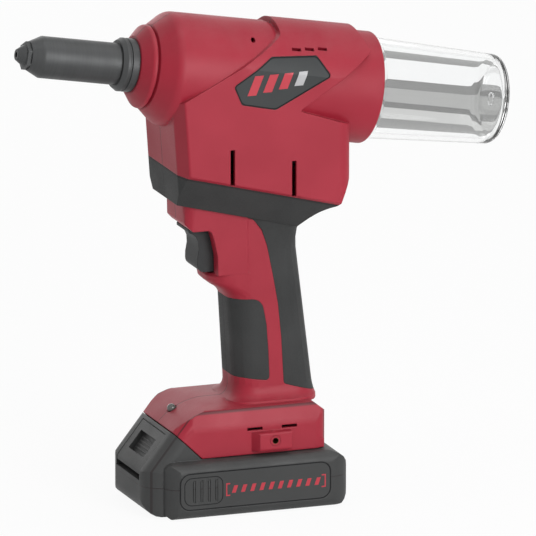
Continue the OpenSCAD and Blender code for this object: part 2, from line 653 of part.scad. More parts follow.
// Ball screw and pulling head
module ball_nut() color([0.6, 0.58, 0.52]) on_axis() difference() {
    union() {
        rod(plate_back + 0.5, plate_front, 9);
        rod(plate_front - 0.5 + nodes_gap, flange_front, 11);
        rod(seat_front, flange_front, 15);
        translate([0, 0, gear_back]) linear_extrude(gear_width)
            polygon(gear_points(gear_teeth, gear_module, 0.8, 1.1, 0.16));
    }
    rod(0, flange_front + 1, spindle_r + 0.08);
}

module spindle() color([0.7, 0.7, 0.72]) on_axis() difference() {
    union() {
        rod(spindle_back, head_back, spindle_r);
        rod(head_back - 1, thread_front, 5.4);
        difference() {
            rod(head_back, head_front, head_r);
            lathe([[0, head_back - 1], [cone_back_r, head_back - 1], [cone_back_r, jaw_back - 2],
                [cone_front_r, head_front - 2], [cone_front_r, head_front + 1], [0, head_front + 1]]);
        }
        pipe(head_back, thread_front - 1, head_r - 0.5, 5);
        block([-sleeve_r + 0.6, -3, spindle_back], [-spindle_r + 1.5, 3, spindle_back + 8]);
    }
    rod(spindle_back - 1, thread_front + 1, spindle_bore_r);
}

module jaw(k) color([0.3, 0.3, 0.31]) on_axis() rotate(k * 120) intersection() {
    lathe([[mandrel_bore_r - 0.2, jaw_back], [cone_at(jaw_back) - 0.06, jaw_back],
        [cone_at(jaw_front) - 0.06, jaw_front], [mandrel_bore_r - 0.2, jaw_front]]);
    rotate(-58.5) translate([0, 0, jaw_back - 1]) linear_extrude(14)
        polygon([[0.25, 0.43], each [for (t = [0 : 19.5 : 117]) 12 * [cos(t), sin(t)] + [0.25, 0.43]]]);
}
module jaw_1() jaw(0);
module jaw_2() jaw(1);
module jaw_3() jaw(2);

module jaw_pusher() color([0.5, 0.5, 0.52]) on_axis() difference() {
    union() {
        rod(thread_front + 3, jaw_back - 0.2, cone_back_r - 0.6);
        rod(thread_front + 1.7, thread_front + 4, 4.6);
    }
    rod(thread_front - 1, jaw_back + 1, 2.8);
}

// Container
module mandrel_container() color([0.8, 0.85, 0.88, 0.4]) on_axis() difference() {
    lathe(rounded([[0, -rear_face - cup_len, 0], [cup_end_r, -rear_face - cup_len, 5], [cup_r, -rear_face - 1.8, 0],
        [cup_r + 1.2, -rear_face - 1.8, 0.4], [cup_r + 1.2, -rear_face - 0.05, 0.4], [collar_in - 1.2, -rear_face - 0.05, 0],
        [collar_in - 1.2, -rear_face + 4.6, 0], [collar_in - 2.1, -rear_face + 4.9, 0], [collar_in - 2.1, -rear_face + 6.5, 0],
        [collar_in - 1.2, -rear_face + 6.8, 0], [collar_in - 1.2, neck_front, 0.6], [0, neck_front, 0]]));
    lathe(rounded([[0, -rear_face - cup_len + 3, 0], [cup_end_r - cup_wall, -rear_face - cup_len + 3, 4],
        [cup_r - cup_wall - 0.6, -rear_face, 0], [cup_r - cup_wall - 0.6, neck_front + 1, 0], [0, neck_front + 1, 0]]));
}
module container_seal() color([0.1, 0.1, 0.11]) on_axis() translate([0, 0, -rear_face + 5.7])
    rotate_extrude() translate([collar_in - 1.3, 0]) circle(r = 0.78);

// Handle internals and the trigger
module switch_body() color([0.13, 0.13, 0.14]) difference() {
    block([-29, -9, trigger_z - 9], [switch_front, 9, trigger_z + 13]);
    translate([-3 - trigger_travel, 0, trigger_z]) rotate([0, 90, 0]) cylinder(r = 2.9, h = 20);
}
module control_board() color([0.1, 0.3, 0.16]) block([-24, -1.6, grip_z(0.414)], [-6, 0, trigger_z - 9]);

function trigger_profile() = rounded([[trigger_back, -12.8, 0], [22.5, -13.1, 4.4], [22.3, -5, 0], [21.4, 0, 0],
    [21.6, 4.2, 0], [23, 7.4, 0], [25.2, 9.2, 0], [27.4, 10.3, 0.6], [27.4, 12.1, 0.4], [trigger_back, 12.1, 0]]);
module trigger() color([0.18, 0.18, 0.19]) translate([0, 0, trigger_z]) difference() {
    intersection() {
        side_prism(trigger_profile());
        plan_prism(rounded([[0, -trigger_width / 2, 0], [30, -trigger_width / 2, 4], [30, trigger_width / 2, 4], [0, trigger_width / 2, 0]]), -17, 15);
    }
    block([0, -trigger_width / 2 + 2, -10.5], [trigger_back + 4, trigger_width / 2 - 2, 10]);
}
module trigger_plunger() color([0.2, 0.2, 0.21]) translate([-2.5, 0, trigger_z]) rotate([0, 90, 0])
    cylinder(r = 2.7, h = trigger_back + 6.5);
module trigger_spring() color([0.7, 0.7, 0.72]) translate([switch_front, 0, trigger_z]) rotate([0, 90, 0])
    coil(0.1, trigger_travel + 4.9, 4.2, 0.35, 5);

// Foot
module light_lens() color([0.95, 0.95, 0.9]) translate([33.4, 0, foot_top - 6.2]) rotate([0, 35, 0]) {
    rod(-7, 1.2, light_r);
    translate([0, 0, 1.2]) intersection() { sphere(r = light_r); rod(0, 5, light_r + 1); }
}
module terminal_block() color([0.12, 0.12, 0.13]) difference() {
    block([-foot_rear + wall, -15, rail_top - 4.5], [-38, 15, foot_top - 11.6]);
    for (y = [-9, 0, 9]) block([-40, y - 0.5, rail_top - 5], [-36, y + 0.5, rail_top - 0.8]);
}
module terminal_blades() color([0.8, 0.65, 0.35]) for (y = [-9, 0, 9])
    block([-40, y - 0.5, rail_top - 4.3], [-26, y + 0.5, rail_top - 0.8]);
module hook_insert(s) color([0.75, 0.6, 0.3]) mirror_side(s) difference() {
    across(-14.6, hook_z, half_foot - 4, half_foot + 4.9, 3);
    across(-14.6, hook_z, half_foot - 5, half_foot + 6, hook_core_r);
}
module hook_insert_left() hook_insert(1);
module hook_insert_right() hook_insert(-1);

// Battery
module wings_form(i) intersection() {
    plan_prism(rounded([[-battery_rear + i, -half_pack + i, 12 - i], [50 - i, -half_pack + i, 10 - i],
        [50 - i, half_pack - i, 10 - i], [-battery_rear + i, half_pack - i, 12 - i]], 6), -1, 50);
    cross_prism(rounded([[-half_pack + i, i, 5 - i], [half_pack - i, i, 5 - i], [half_pack - i, battery_height - i, 6 - i],
        [-half_pack + i, battery_height - i, 6 - i]]), -90, 90);
    side_prism(rounded([[-battery_rear + i, i, 11 - i], [50 - i, i, 5 - i], [50 - i, battery_height - i, 6 - i],
        [-battery_rear + i, battery_height - i, 14 - i]], 6));
}
module head_form(i) intersection() {
    side_prism(rounded([[20, 1 + i, 0], [head_face - i, 1 + i, 9 - i], [head_face - i, nib[1] - 20.6, 12], [nib[0] + 0.3 - i, nib[1] - 0.4, 0.6],
        [heel[0] + 0.3, heel[1] - 0.4, 0], [20, heel[1] - 0.4, 0]]));
    plan_prism(rounded([[18, -half_foot + i, 0], [head_face - i, -half_foot + i, 12 - i], [head_face - i, half_foot - i, 12 - i], [18, half_foot - i, 0]], 6), -1, 60);
    slope_form(i);
}
module pack_solid() difference() {
    union() {
        wings_form(0);
        head_form(0);
        block([-36, -20, rail_top - 16], [36, 20, rail_top - 5]);
        block([-36, -24, rail_top - 6], [36, 24, rail_top]);
    }
    difference() {
        union() {
            wings_form(2.2);
            block([-33.5, -17.6, rail_top - 24], [35, 17.6, rail_top - 2.2]);
        }
        for (p = pack_screws) translate([p[0], p[1], 0]) rod(0, 40, 2.9);
    }
    for (y = [-9, 0, 9]) block([-37, y - 0.9, rail_top - 4.7], [-24, y + 0.9, rail_top - 0.4]);
    block([pocket_back, -button_width / 2 - play, pocket_floor], [70, button_width / 2 + play, 60]);
    for (s = [-1, 1]) mirror_side(s) difference() { panel_region(); panel_depth(); }
    for (p = pack_screws) translate([p[0], p[1], 0]) {
        rod(-1, 22, 1.2);
        rod(-1, screw_sink + 2.2, 2.3);
    }
}
module panel_region() translate([0, half_pack / 2, 0]) side_prism(rounded([[43, 5.4, 6], [43, battery_height - 5.2, 6],
    [-46.4, battery_height - 5.2, 6], [-46.4, 5.4, 6]]), half_pack);
module panel_depth() block([-80, 0, 0], [80, half_pack - 0.8, 40]);

module battery_top() color([0.17, 0.17, 0.18]) intersection() {
    pack_solid();
    block([-90, -60, seam_height], [90, 60, 60]);
}
module battery_base() color([0.17, 0.17, 0.18]) intersection() {
    pack_solid();
    block([-90, -60, -1], [90, 60, seam_height]);
}
module battery_panel(s) color([0.22, 0.22, 0.23]) mirror_side(s) difference() {
    translate([0, half_pack - 0.8, 0]) rotate([-90, 0, 0]) mirror([0, 1, 0]) linear_extrude(0.6)
        polygon(rounded([[42.9, 5.5, 5.9], [42.9, battery_height - 5.3, 5.9], [-46.3, battery_height - 5.3, 5.9], [-46.3, 5.5, 5.9]]));
    for (k = [0 : 3]) translate([34.5 - k * 4.4, half_pack - 0.3, battery_height / 2]) cube([1.6, 0.6, 13], center = true);
}
module battery_panel_left() battery_panel(1);
module battery_panel_right() battery_panel(-1);
module cell_row(r, y) for (k = [0 : 4]) across(cell_front - k * cell_pitch, cell_z, -y, y, r);
module battery_cells() color([0.2, 0.35, 0.5]) cell_row(cell_r, cell_half);
module cell_holder() color([0.1, 0.1, 0.11]) difference() {
    intersection() {
        block([cell_front - 4 * cell_pitch - cell_r, 1.5 - cell_half, 2.2], [cell_front + cell_r, cell_half - 1.5, cell_z - 1]);
        wings_form(2.3);
    }
    cell_row(cell_r, half_pack);
}
module battery_board() color([0.1, 0.3, 0.16]) block([-33, -16, cell_z + cell_r], [33, 16, cell_z + cell_r + 1.6]);
module battery_contacts() color([0.8, 0.65, 0.35]) for (y = [-9, 0, 9]) for (s = [-1, 1])
    block([-30, y + s * 1.1 - 0.25, cell_z + cell_r + 1.6], [-25, y + s * 1.1 + 0.25, rail_top - 3.5]);
module battery_screws() color([0.25, 0.25, 0.26]) for (p = pack_screws) translate([p[0], p[1], 0]) {
    rod(screw_sink + 1.6, 21, 1.2);
    difference() { rod(screw_sink, screw_sink + 2.1, 2.2); rod(screw_sink - 1, screw_sink + 1, 0.9); }
}

// Release button and its spring
module release_button() color([0.17, 0.17, 0.18]) difference() {
    intersection() {
        head_form(0.15);
        block([pocket_back + play, -button_width / 2, button_floor], [70, button_width / 2, 60]);
    }
    translate([52, 0, nib[1] - 11.3]) rotate([0, 51.5, 0]) cube([12, 24, 7.2], center = true);
    translate([51, 0, 0]) rod(button_floor - 1, button_floor + 3.4, 3.4);
}
module latch_spring() color([0.7, 0.7, 0.72]) translate([51, 0, 0]) coil(pocket_floor + 0.05, button_floor + 3.3, 2.7, 0.35, 4);

housing_left();
housing_right();
grip_left();
grip_right();
pad_left();
pad_right();
label_left();
label_right();
housing_screws();
nosepiece();
nose_tube();
lock_ring();
front_frame();
rear_plate();
front_bearing();
rear_bearing();
thrust_bearing();
guide_sleeve();
bulkhead();
mandrel_tube();
ring_gear();
gearbox_cover();
pinion_bush();
motor_can();
motor_magnets();
motor_cap();
switch_body();
control_board();
light_lens();
terminal_block();
terminal_blades();
hook_insert_left();
hook_insert_right();
trigger();
trigger_plunger();
trigger_spring();
battery_top();
battery_base();
battery_panel_left();
battery_panel_right();
battery_cells();
cell_holder();
battery_board();
battery_contacts();
battery_screws();
release_button();
latch_spring();
mandrel_container();
container_seal();
rotor();
planet_carrier();
planet_gear_1();
planet_gear_2();
planet_gear_3();
ball_nut();
spindle();
jaw_1();
jaw_2();
jaw_3();
jaw_pusher();
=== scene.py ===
import bpy
import bmesh
import math
from mathutils import Matrix, Vector


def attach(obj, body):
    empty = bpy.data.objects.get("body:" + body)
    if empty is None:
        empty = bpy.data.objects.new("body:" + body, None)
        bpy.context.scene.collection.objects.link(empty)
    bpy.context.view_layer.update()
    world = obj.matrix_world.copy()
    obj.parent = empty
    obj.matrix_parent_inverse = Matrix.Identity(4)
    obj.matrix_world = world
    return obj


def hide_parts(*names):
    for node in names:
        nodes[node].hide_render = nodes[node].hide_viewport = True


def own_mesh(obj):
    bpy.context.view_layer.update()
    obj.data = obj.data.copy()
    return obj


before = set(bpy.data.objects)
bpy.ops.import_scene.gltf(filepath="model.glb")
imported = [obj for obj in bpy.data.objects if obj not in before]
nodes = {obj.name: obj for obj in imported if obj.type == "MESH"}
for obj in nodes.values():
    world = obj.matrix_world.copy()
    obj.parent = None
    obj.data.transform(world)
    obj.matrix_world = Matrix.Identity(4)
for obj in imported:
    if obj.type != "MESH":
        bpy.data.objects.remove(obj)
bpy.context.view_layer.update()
mm = 0.001
sides = ((1, "Left"), (-1, "Right"))

# barrel axis: leans nose up, passes over the middle of the base (mm)
barrel = {"tilt": math.radians(10), "height": 243.5, "shroudRadius": 34.5, "flatSide": 33.0}


def barrelPlace():  # frame with Z along the barrel axis, towards the nose
    c, s = math.cos(barrel["tilt"]), math.sin(barrel["tilt"])
    return Matrix(((s, 0, c, 0), (0, 1, 0, 0), (-c, 0, s, barrel["height"] * mm), (0, 0, 0, 1)))


def axesPlace(x, y, z, spot):
    return Matrix(((x.x, y.x, z.x, spot.x), (x.y, y.y, z.y, spot.y), (x.z, y.z, z.z, spot.z), (0, 0, 0, 1)))


# camera as in the photograph: long lens, from the tool's left and a little above
cameraSetup = {"azimuth": 70.0, "elevation": 14.6, "distance": 12.0, "sensor": 36, "clipEnd": 80,
               "pixelsPerMm": 1.79, "originPixel": (229.0, 497.27), "framePixels": 536}


def cameraAxes():  # azimuth is counted from the nose towards the tool's left
    turn, lift = math.radians(cameraSetup["azimuth"]), math.radians(cameraSetup["elevation"])
    across = Vector((-math.sin(turn), math.cos(turn), 0))
    back = Vector((math.cos(lift) * math.cos(turn), math.cos(lift) * math.sin(turn), math.sin(lift)))
    return across, back.cross(across), back


def addCamera():
    k = cameraSetup
    across, up, back = cameraAxes()
    half = k["framePixels"] / 2
    target = across * ((half - k["originPixel"][0]) / k["pixelsPerMm"] * mm)
    target += up * ((k["originPixel"][1] - half) / k["pixelsPerMm"] * mm)
    data = bpy.data.cameras.new("photoCamera")
    data.sensor_width = k["sensor"]
    data.lens = k["sensor"] * k["distance"] / (k["framePixels"] / k["pixelsPerMm"] * mm)
    data.clip_end = k["clipEnd"]
    camera = bpy.data.objects.new("photoCamera", data)
    camera.matrix_world = axesPlace(across, up, back, target + back * k["distance"])
    bpy.context.scene.collection.objects.link(camera)
    bpy.context.scene.camera = camera


addCamera()
print("camera set")


# helpers for node trees
def newGroup(name, inputs, outputs):
    tree = bpy.data.node_groups.new(name, "ShaderNodeTree")
    for label, kind, value in inputs:
        socket = tree.interface.new_socket(label, in_out="INPUT", socket_type="NodeSocket" + kind)
        socket.default_value = value
    for label, kind in outputs:
        tree.interface.new_socket(label, in_out="OUTPUT", socket_type="NodeSocket" + kind)
    return tree, tree.nodes.new("NodeGroupInput"), tree.nodes.new("NodeGroupOutput")


def put(tree, kind, **settings):  # settings are the node's inputs or its own properties
    node = tree.nodes.new("ShaderNode" + kind)
    for key, value in settings.items():
        if key in node.inputs:
            node.inputs[key].default_value = value
        else:
            setattr(node, key, value)
    return node


def feed(tree, value, socket):  # links an output, or sets a plain value
    if hasattr(value, "is_linked"):
        tree.links.new(value, socket)
    else:
        socket.default_value = value


def mathNode(tree, operation, *values):
    node = put(tree, "Math", operation=operation)
    for value, socket in zip(values, node.inputs):
        feed(tree, value, socket)
    return node.outputs[0]


def shareSum(tree, first, second, share):  # a share of the first, the rest from the second
    return mathNode(tree, "ADD", mathNode(tree, "MULTIPLY", first, share),
                    mathNode(tree, "MULTIPLY", second, 1 - share))


def dotProduct(tree, first, second):
    node = put(tree, "VectorMath", operation="DOT_PRODUCT")
    tree.links.new(first, node.inputs[0])
    tree.links.new(second, node.inputs[1])
    return node.outputs["Value"]


def mixTint(tree, factor, first, second):
    node = put(tree, "Mix", data_type="RGBA")
    feed(tree, factor, node.inputs[0])
    for tint, socket in zip((first, second), node.inputs[6:8]):  # its two colour inputs
        feed(tree, tint if hasattr(tint, "is_linked") else (*tint, 1), socket)
    return node.outputs[2]


def layOver(tree, tint, over, mask, share):  # a second tint where the mask is
    return mixTint(tree, mathNode(tree, "MULTIPLY", mask, share), tint, over)


def remap(tree, value, source, target=(0.0, 1.0)):
    node = put(tree, "MapRange", clamp=True, **{"From Min": source[0], "From Max": source[1],
                                                "To Min": target[0], "To Max": target[1]})
    tree.links.new(value, node.inputs["Value"])
    return node.outputs[0]


def objectPlace(tree, *users):  # Object coordinates, fed to each user
    place = put(tree, "TexCoord").outputs["Object"]
    for node in users:
        tree.links.new(place, node.inputs["Vector"])
    return place


# shader groups shared by the finishes
noiseNear, noiseWide = (0.35, 0.65), (0.3, 0.7)  # ranges that hold most of a noise

edgeRound = {"radius": 0.0006, "breakUp": 400.0, "samples": 6, "turned": (0.01, 0.2), "wearAndPaintedLight": (0.35, 1.0)}


def makeRoundEdge():  # moulded edge round, and a mask of where the edges are, which the finishes tint for wear and as painted light and shade
    k = edgeRound
    tree, start, end = newGroup("roundEdge",
                                [("Radius", "Float", k["radius"]), ("Break Up", "Float", k["breakUp"])],
                                [("Normal", "Vector"), ("Edge", "Float")])
    bevel = put(tree, "Bevel", samples=k["samples"])
    tree.links.new(start.outputs["Radius"], bevel.inputs["Radius"])
    facing = dotProduct(tree, bevel.outputs[0], put(tree, "NewGeometry").outputs["Normal"])
    turned = remap(tree, mathNode(tree, "SUBTRACT", 1.0, facing), k["turned"])
    speckle = put(tree, "TexNoise", Detail=3.0, Roughness=0.6)
    objectPlace(tree, speckle)
    tree.links.new(start.outputs["Break Up"], speckle.inputs["Scale"])
    # the edge mask, broken up by noise, tints edges for wear and as painted edge light and shade
    wearAndPaintedLight = mathNode(tree, "MULTIPLY", turned, remap(tree, speckle.outputs[0], noiseNear, k["wearAndPaintedLight"]))
    tree.links.new(bevel.outputs[0], end.inputs["Normal"])
    tree.links.new(wearAndPaintedLight, end.inputs["Edge"])
    return tree


sparkGrain = {"grain": 2600.0, "drift": 28.0, "pitScale": 0.55, "pitSmooth": 0.6,
              "pitShare": 0.5, "fineShare": 0.5}


def makeSparkGrain():  # fine spark-eroded mould grain, with a slow drift of tone
    k = sparkGrain
    tree, start, end = newGroup("sparkGrain", [("Grain", "Float", k["grain"]), ("Drift", "Float", k["drift"])],
                                [("Height", "Float"), ("Rough", "Float"), ("Tone", "Float")])
    fine = put(tree, "TexNoise", Detail=2.0, Roughness=0.55)
    pits = put(tree, "TexVoronoi", feature="SMOOTH_F1", Smoothness=k["pitSmooth"])
    slow = put(tree, "TexNoise", Detail=4.0, Roughness=0.5)
    objectPlace(tree, fine, pits, slow)
    tree.links.new(start.outputs["Grain"], fine.inputs["Scale"])
    tree.links.new(start.outputs["Drift"], slow.inputs["Scale"])
    tree.links.new(mathNode(tree, "MULTIPLY", start.outputs["Grain"], k["pitScale"]), pits.inputs["Scale"])
    pitted = mathNode(tree, "MULTIPLY", pits.outputs["Distance"], k["pitShare"])
    tree.links.new(mathNode(tree, "ADD", fine.outputs[0], pitted), end.inputs["Height"])
    tree.links.new(shareSum(tree, fine.outputs[0], slow.outputs[0], k["fineShare"]), end.inputs["Rough"])
    tree.links.new(slow.outputs[0], end.inputs["Tone"])
    return tree


turnedLines = {"pitch": 900.0, "stretch": (0.012, 0.012, 1), "smudge": 90.0, "ringShare": 0.6}


def makeTurnedLines():  # rings left by the lathe, square to the barrel axis
    k = turnedLines
    tree, start, end = newGroup("turnedLines", [("Pitch", "Float", k["pitch"])],
                                [("Height", "Float"), ("Rough", "Float")])
    lean = put(tree, "Mapping", Rotation=(0, -(math.pi / 2 - barrel["tilt"]), 0))
    smudge = put(tree, "TexNoise", Scale=k["smudge"], Detail=3.0)
    objectPlace(tree, lean, smudge)
    stretch = put(tree, "VectorMath", operation="MULTIPLY")
    stretch.inputs[1].default_value = k["stretch"]
    tree.links.new(lean.outputs[0], stretch.inputs[0])
    rings = put(tree, "TexNoise", Detail=5.0, Roughness=0.7)
    tree.links.new(stretch.outputs[0], rings.inputs["Vector"])
    tree.links.new(start.outputs["Pitch"], rings.inputs["Scale"])
    tree.links.new(rings.outputs[0], end.inputs["Height"])
    tree.links.new(shareSum(tree, rings.outputs[0], smudge.outputs[0], k["ringShare"]), end.inputs["Rough"])
    return tree


settledDust = {"patch": 70.0, "upward": (0.25, 1.0), "cover": (0.35, 0.7)}


def makeSettledDust():  # a little dust where faces look up
    k = settledDust
    tree, start, end = newGroup("settledDust", [("Patch", "Float", k["patch"])], [("Mask", "Float")])
    split = put(tree, "SeparateXYZ")
    tree.links.new(put(tree, "NewGeometry").outputs["Normal"], split.inputs[0])
    patch = put(tree, "TexNoise", Detail=5.0, Roughness=0.65)
    objectPlace(tree, patch)
    tree.links.new(start.outputs["Patch"], patch.inputs["Scale"])
    upward = remap(tree, split.outputs["Z"], k["upward"])
    cover = remap(tree, patch.outputs[0], k["cover"])
    tree.links.new(mathNode(tree, "MULTIPLY", upward, cover), end.inputs["Mask"])
    return tree


seamAndShadeLine = {"halfWidth": 0.0003, "axis": (0, 1, 0), "reachAxis": (0, 0, 1), "reach": 1.0, "fade": (0.5, 1.0)}


def makeSeamAndShadeLine():  # thin dark line on one plane: a parting line where two mouldings meet, and painted shade along creases and under steps
    k = seamAndShadeLine
    tree, start, end = newGroup("seamAndShadeLine",
                                [("Half Width", "Float", k["halfWidth"]), ("Axis", "Vector", k["axis"]),
                                 ("Offset", "Float", 0.0), ("Reach Axis", "Vector", k["reachAxis"]),
                                 ("Reach", "Float", k["reach"])], [("Mask", "Float")])
    place = objectPlace(tree)
    depth = mathNode(tree, "ABSOLUTE", dotProduct(tree, place, start.outputs["Axis"]))  # the same on both sides
    away = mathNode(tree, "ABSOLUTE", mathNode(tree, "SUBTRACT", depth, start.outputs["Offset"]))
    near = remap(tree, mathNode(tree, "DIVIDE", away, start.outputs["Half Width"]), k["fade"], (1.0, 0.0))
    along = dotProduct(tree, place, start.outputs["Reach Axis"])
    within = mathNode(tree, "LESS_THAN", along, start.outputs["Reach"])
    tree.links.new(mathNode(tree, "MULTIPLY", within, near), end.inputs["Mask"])
    return tree


groups = {"seam": makeSeamAndShadeLine(), "edge": makeRoundEdge(), "grain": makeSparkGrain(),
          "turned": makeTurnedLines(), "dust": makeSettledDust()}
print("shader groups:", ", ".join(groups))


def useGroup(tree, name, **values):
    node = tree.nodes.new("ShaderNodeGroup")
    node.node_tree = groups[name]
    for key, value in values.items():
        node.inputs[key].default_value = value
    return node


def startFinish(name):
    material = bpy.data.materials.new(name)
    material.use_nodes = True
    tree = material.node_tree
    return material, tree, tree.nodes["Principled BSDF"]


def addBump(tree, shader, height, strength, depth, under=None):
    bump = put(tree, "Bump", Strength=strength, Distance=depth)
    tree.links.new(height, bump.inputs["Height"])
    if under is not None:
        tree.links.new(under, bump.inputs["Normal"])
    tree.links.new(bump.outputs[0], shader.inputs["Normal"])


# planes that seams and painted shade lines lie on: direction square to the plane, place along it, and the line's
# reach (mm)
band = {"lean": math.radians(14.3), "height": 185.0, "inside": 0.5}  # upper edge of the soft band; the line here is painted shadow under the red shell's step
upward, forward, leftward, noEnd = (0, 0, 1), (1, 0, 0), (0, 1, 0), 400.0
# middle and pack are parting lines; the band, band front, cheek and head cheek lines are painted shade under steps
# and along creases
seamPlanes = {"middle": (leftward, 0.0, upward, noEnd),
              "band": ((-math.sin(band["lean"]), 0, math.cos(band["lean"])),
                       band["height"] * math.cos(band["lean"]) - band["inside"], upward, noEnd),
              "bandFront": (forward, 41.3, (-1, 0, 0), -30.0),
              "pack": (upward, 17.5, upward, noEnd),
              "cheekShade": (leftward, 27.8, upward, 60.6),
              "headCheekShade": (leftward, 27.8, (-1, 0, 0), -32.0)}

# moulded plastics and rubbers: tint, shade of the slow drift, edge tint for wear and painted edge light and shade,
# gloss, grain, edge round (mm), and seams and painted shade lines as plane, half width (mm) and share
mouldedFinishes = {
    "redShell": {"tint": (0.345, 0.014, 0.033), "shade": (0.302, 0.011, 0.027), "edge": (0.47, 0.055, 0.080),
                 "edgeShare": 0.30, "rough": (0.44, 0.60), "grain": 2300.0, "bump": 0.16, "round": 0.9,
                 "specular": 0.36, "dust": 0.05, "seams": (("middle", 0.4, 0.85), ("cheekShade", 0.55, 0.7))},
    "gripRubber": {"tint": (0.031, 0.032, 0.032), "shade": (0.024, 0.025, 0.025), "edge": (0.009, 0.009, 0.009),
                   "edgeShare": 0.6, "rough": (0.58, 0.80), "grain": 1500.0, "bump": 0.30, "round": 0.7,
                   "specular": 0.35, "dust": 0.06,
                   "seams": (("middle", 0.4, 0.8), ("band", 0.9, 0.75), ("bandFront", 0.6, 0.6))},
    "batteryShell": {"tint": (0.036, 0.037, 0.037), "shade": (0.029, 0.030, 0.030), "edge": (0.09, 0.092, 0.094),
                     "edgeShare": 0.45, "rough": (0.46, 0.64), "grain": 1900.0, "bump": 0.22, "round": 0.6,
                     "specular": 0.40, "dust": 0.06, "seams": (("pack", 0.35, 0.8), ("headCheekShade", 0.7, 0.75))},
    "buttonShell": {"tint": (0.030, 0.031, 0.031), "shade": (0.024, 0.025, 0.025), "edge": (0.006, 0.006, 0.007),
                    "edgeShare": 0.9, "rough": (0.46, 0.64), "grain": 1900.0, "bump": 0.22, "round": 0.55,
                    "specular": 0.40, "dust": 0.06},
    # near black, laid in narrow gaps and grooves as painted shade
    "paintedGapShade": {"tint": (0.008, 0.008, 0.009), "shade": (0.006, 0.006, 0.007), "edge": (0.012, 0.012, 0.013),
                "edgeShare": 0.3, "rough": (0.60, 0.80), "grain": 1900.0, "bump": 0.10, "round": 0.05,
                "specular": 0.25, "dust": 0.0},
    "panelSatin": {"tint": (0.035, 0.036, 0.036), "shade": (0.029, 0.030, 0.030), "edge": (0.10, 0.10, 0.102),
                   "edgeShare": 0.4, "rough": (0.42, 0.58), "grain": 2600.0, "bump": 0.14, "round": 0.35,
                   "specular": 0.40, "dust": 0.04},
    "triggerPlastic": {"tint": (0.038, 0.039, 0.040), "shade": (0.031, 0.032, 0.033), "edge": (0.075, 0.077, 0.08),
                       "edgeShare": 0.4, "rough": (0.50, 0.66), "grain": 2000.0, "bump": 0.16, "round": 0.9,
                       "specular": 0.20, "dust": 0.03},
    "labelFilm": {"tint": (0.030, 0.033, 0.034), "shade": (0.024, 0.027, 0.028), "edge": (0.12, 0.12, 0.12),
                  "edgeShare": 0.3, "rough": (0.50, 0.60), "grain": 3000.0, "bump": 0.08, "round": 0.25,
                  "specular": 0.35, "dust": 0.02},
    "innerPlastic": {"tint": (0.018, 0.018, 0.020), "shade": (0.012, 0.012, 0.014), "edge": (0.05, 0.05, 0.052),
                     "edgeShare": 0.3, "rough": (0.42, 0.60), "grain": 1800.0, "bump": 0.15, "round": 0.3,
                     "specular": 0.40, "dust": 0.02},
    "sealRubber": {"tint": (0.012, 0.012, 0.013), "shade": (0.008, 0.008, 0.009), "edge": (0.03, 0.03, 0.03),
                   "edgeShare": 0.3, "rough": (0.50, 0.70), "grain": 1600.0, "bump": 0.12, "round": 0.2,
                   "specular": 0.35, "dust": 0.02},
    "magnetBlack": {"tint": (0.035, 0.035, 0.037), "shade": (0.022, 0.022, 0.024), "edge": (0.12, 0.12, 0.12),
                    "edgeShare": 0.5, "rough": (0.50, 0.72), "grain": 1200.0, "bump": 0.25, "round": 0.3,
                    "specular": 0.30, "dust": 0.0},
    "markRed": {"tint": (0.50, 0.030, 0.050), "shade": (0.43, 0.025, 0.042), "edge": (0.55, 0.09, 0.10),
                "edgeShare": 0.2, "rough": (0.36, 0.48), "grain": 2600.0, "bump": 0.06, "round": 0.08,
                "specular": 0.45, "dust": 0.0},
    "markGrey": {"tint": (0.46, 0.46, 0.47), "shade": (0.40, 0.40, 0.41), "edge": (0.55, 0.55, 0.56),
                 "edgeShare": 0.2, "rough": (0.34, 0.46), "grain": 2600.0, "bump": 0.06, "round": 0.08,
                 "specular": 0.45, "dust": 0.0},
}
# the dark tint of parting lines and of the painted shade lines
mouldedDetail = {"grainDeep": 0.00012, "dustTint": (0.42, 0.40, 0.38), "seamTint": (0.012, 0.006, 0.007)}


def makeMoulded(name, k):
    material, tree, shader = startFinish(name)
    grain = useGroup(tree, "grain", Grain=k["grain"])
    edge = useGroup(tree, "edge", Radius=k["round"] * mm)
    tint = mixTint(tree, remap(tree, grain.outputs["Tone"], noiseWide), k["tint"], k["shade"])
    # edge tint: wear, with painted highlight where it is lighter than the tint and painted shade where it is
    # darker
    tint = layOver(tree, tint, k["edge"], edge.outputs["Edge"], k["edgeShare"])
    if k["dust"]:
        dust = useGroup(tree, "dust")
        tint = layOver(tree, tint, mouldedDetail["dustTint"], dust.outputs["Mask"], k["dust"])
    # dark lines: parting lines, and painted shade along creases and under steps
    for plane, half, share in k.get("seams", ()):
        axis, offset, reachAxis, reach = seamPlanes[plane]
        seam = useGroup(tree, "seam", **{"Axis": axis, "Offset": offset * mm, "Half Width": half * mm,
                                         "Reach Axis": reachAxis, "Reach": reach * mm})
        tint = layOver(tree, tint, mouldedDetail["seamTint"], seam.outputs["Mask"], share)
    tree.links.new(tint, shader.inputs["Base Color"])
    tree.links.new(remap(tree, grain.outputs["Rough"], noiseNear, k["rough"]), shader.inputs["Roughness"])
    shader.inputs["Specular IOR Level"].default_value = k["specular"]
    addBump(tree, shader, grain.outputs["Height"], k["bump"], mouldedDetail["grainDeep"], edge.outputs["Normal"])
    return material
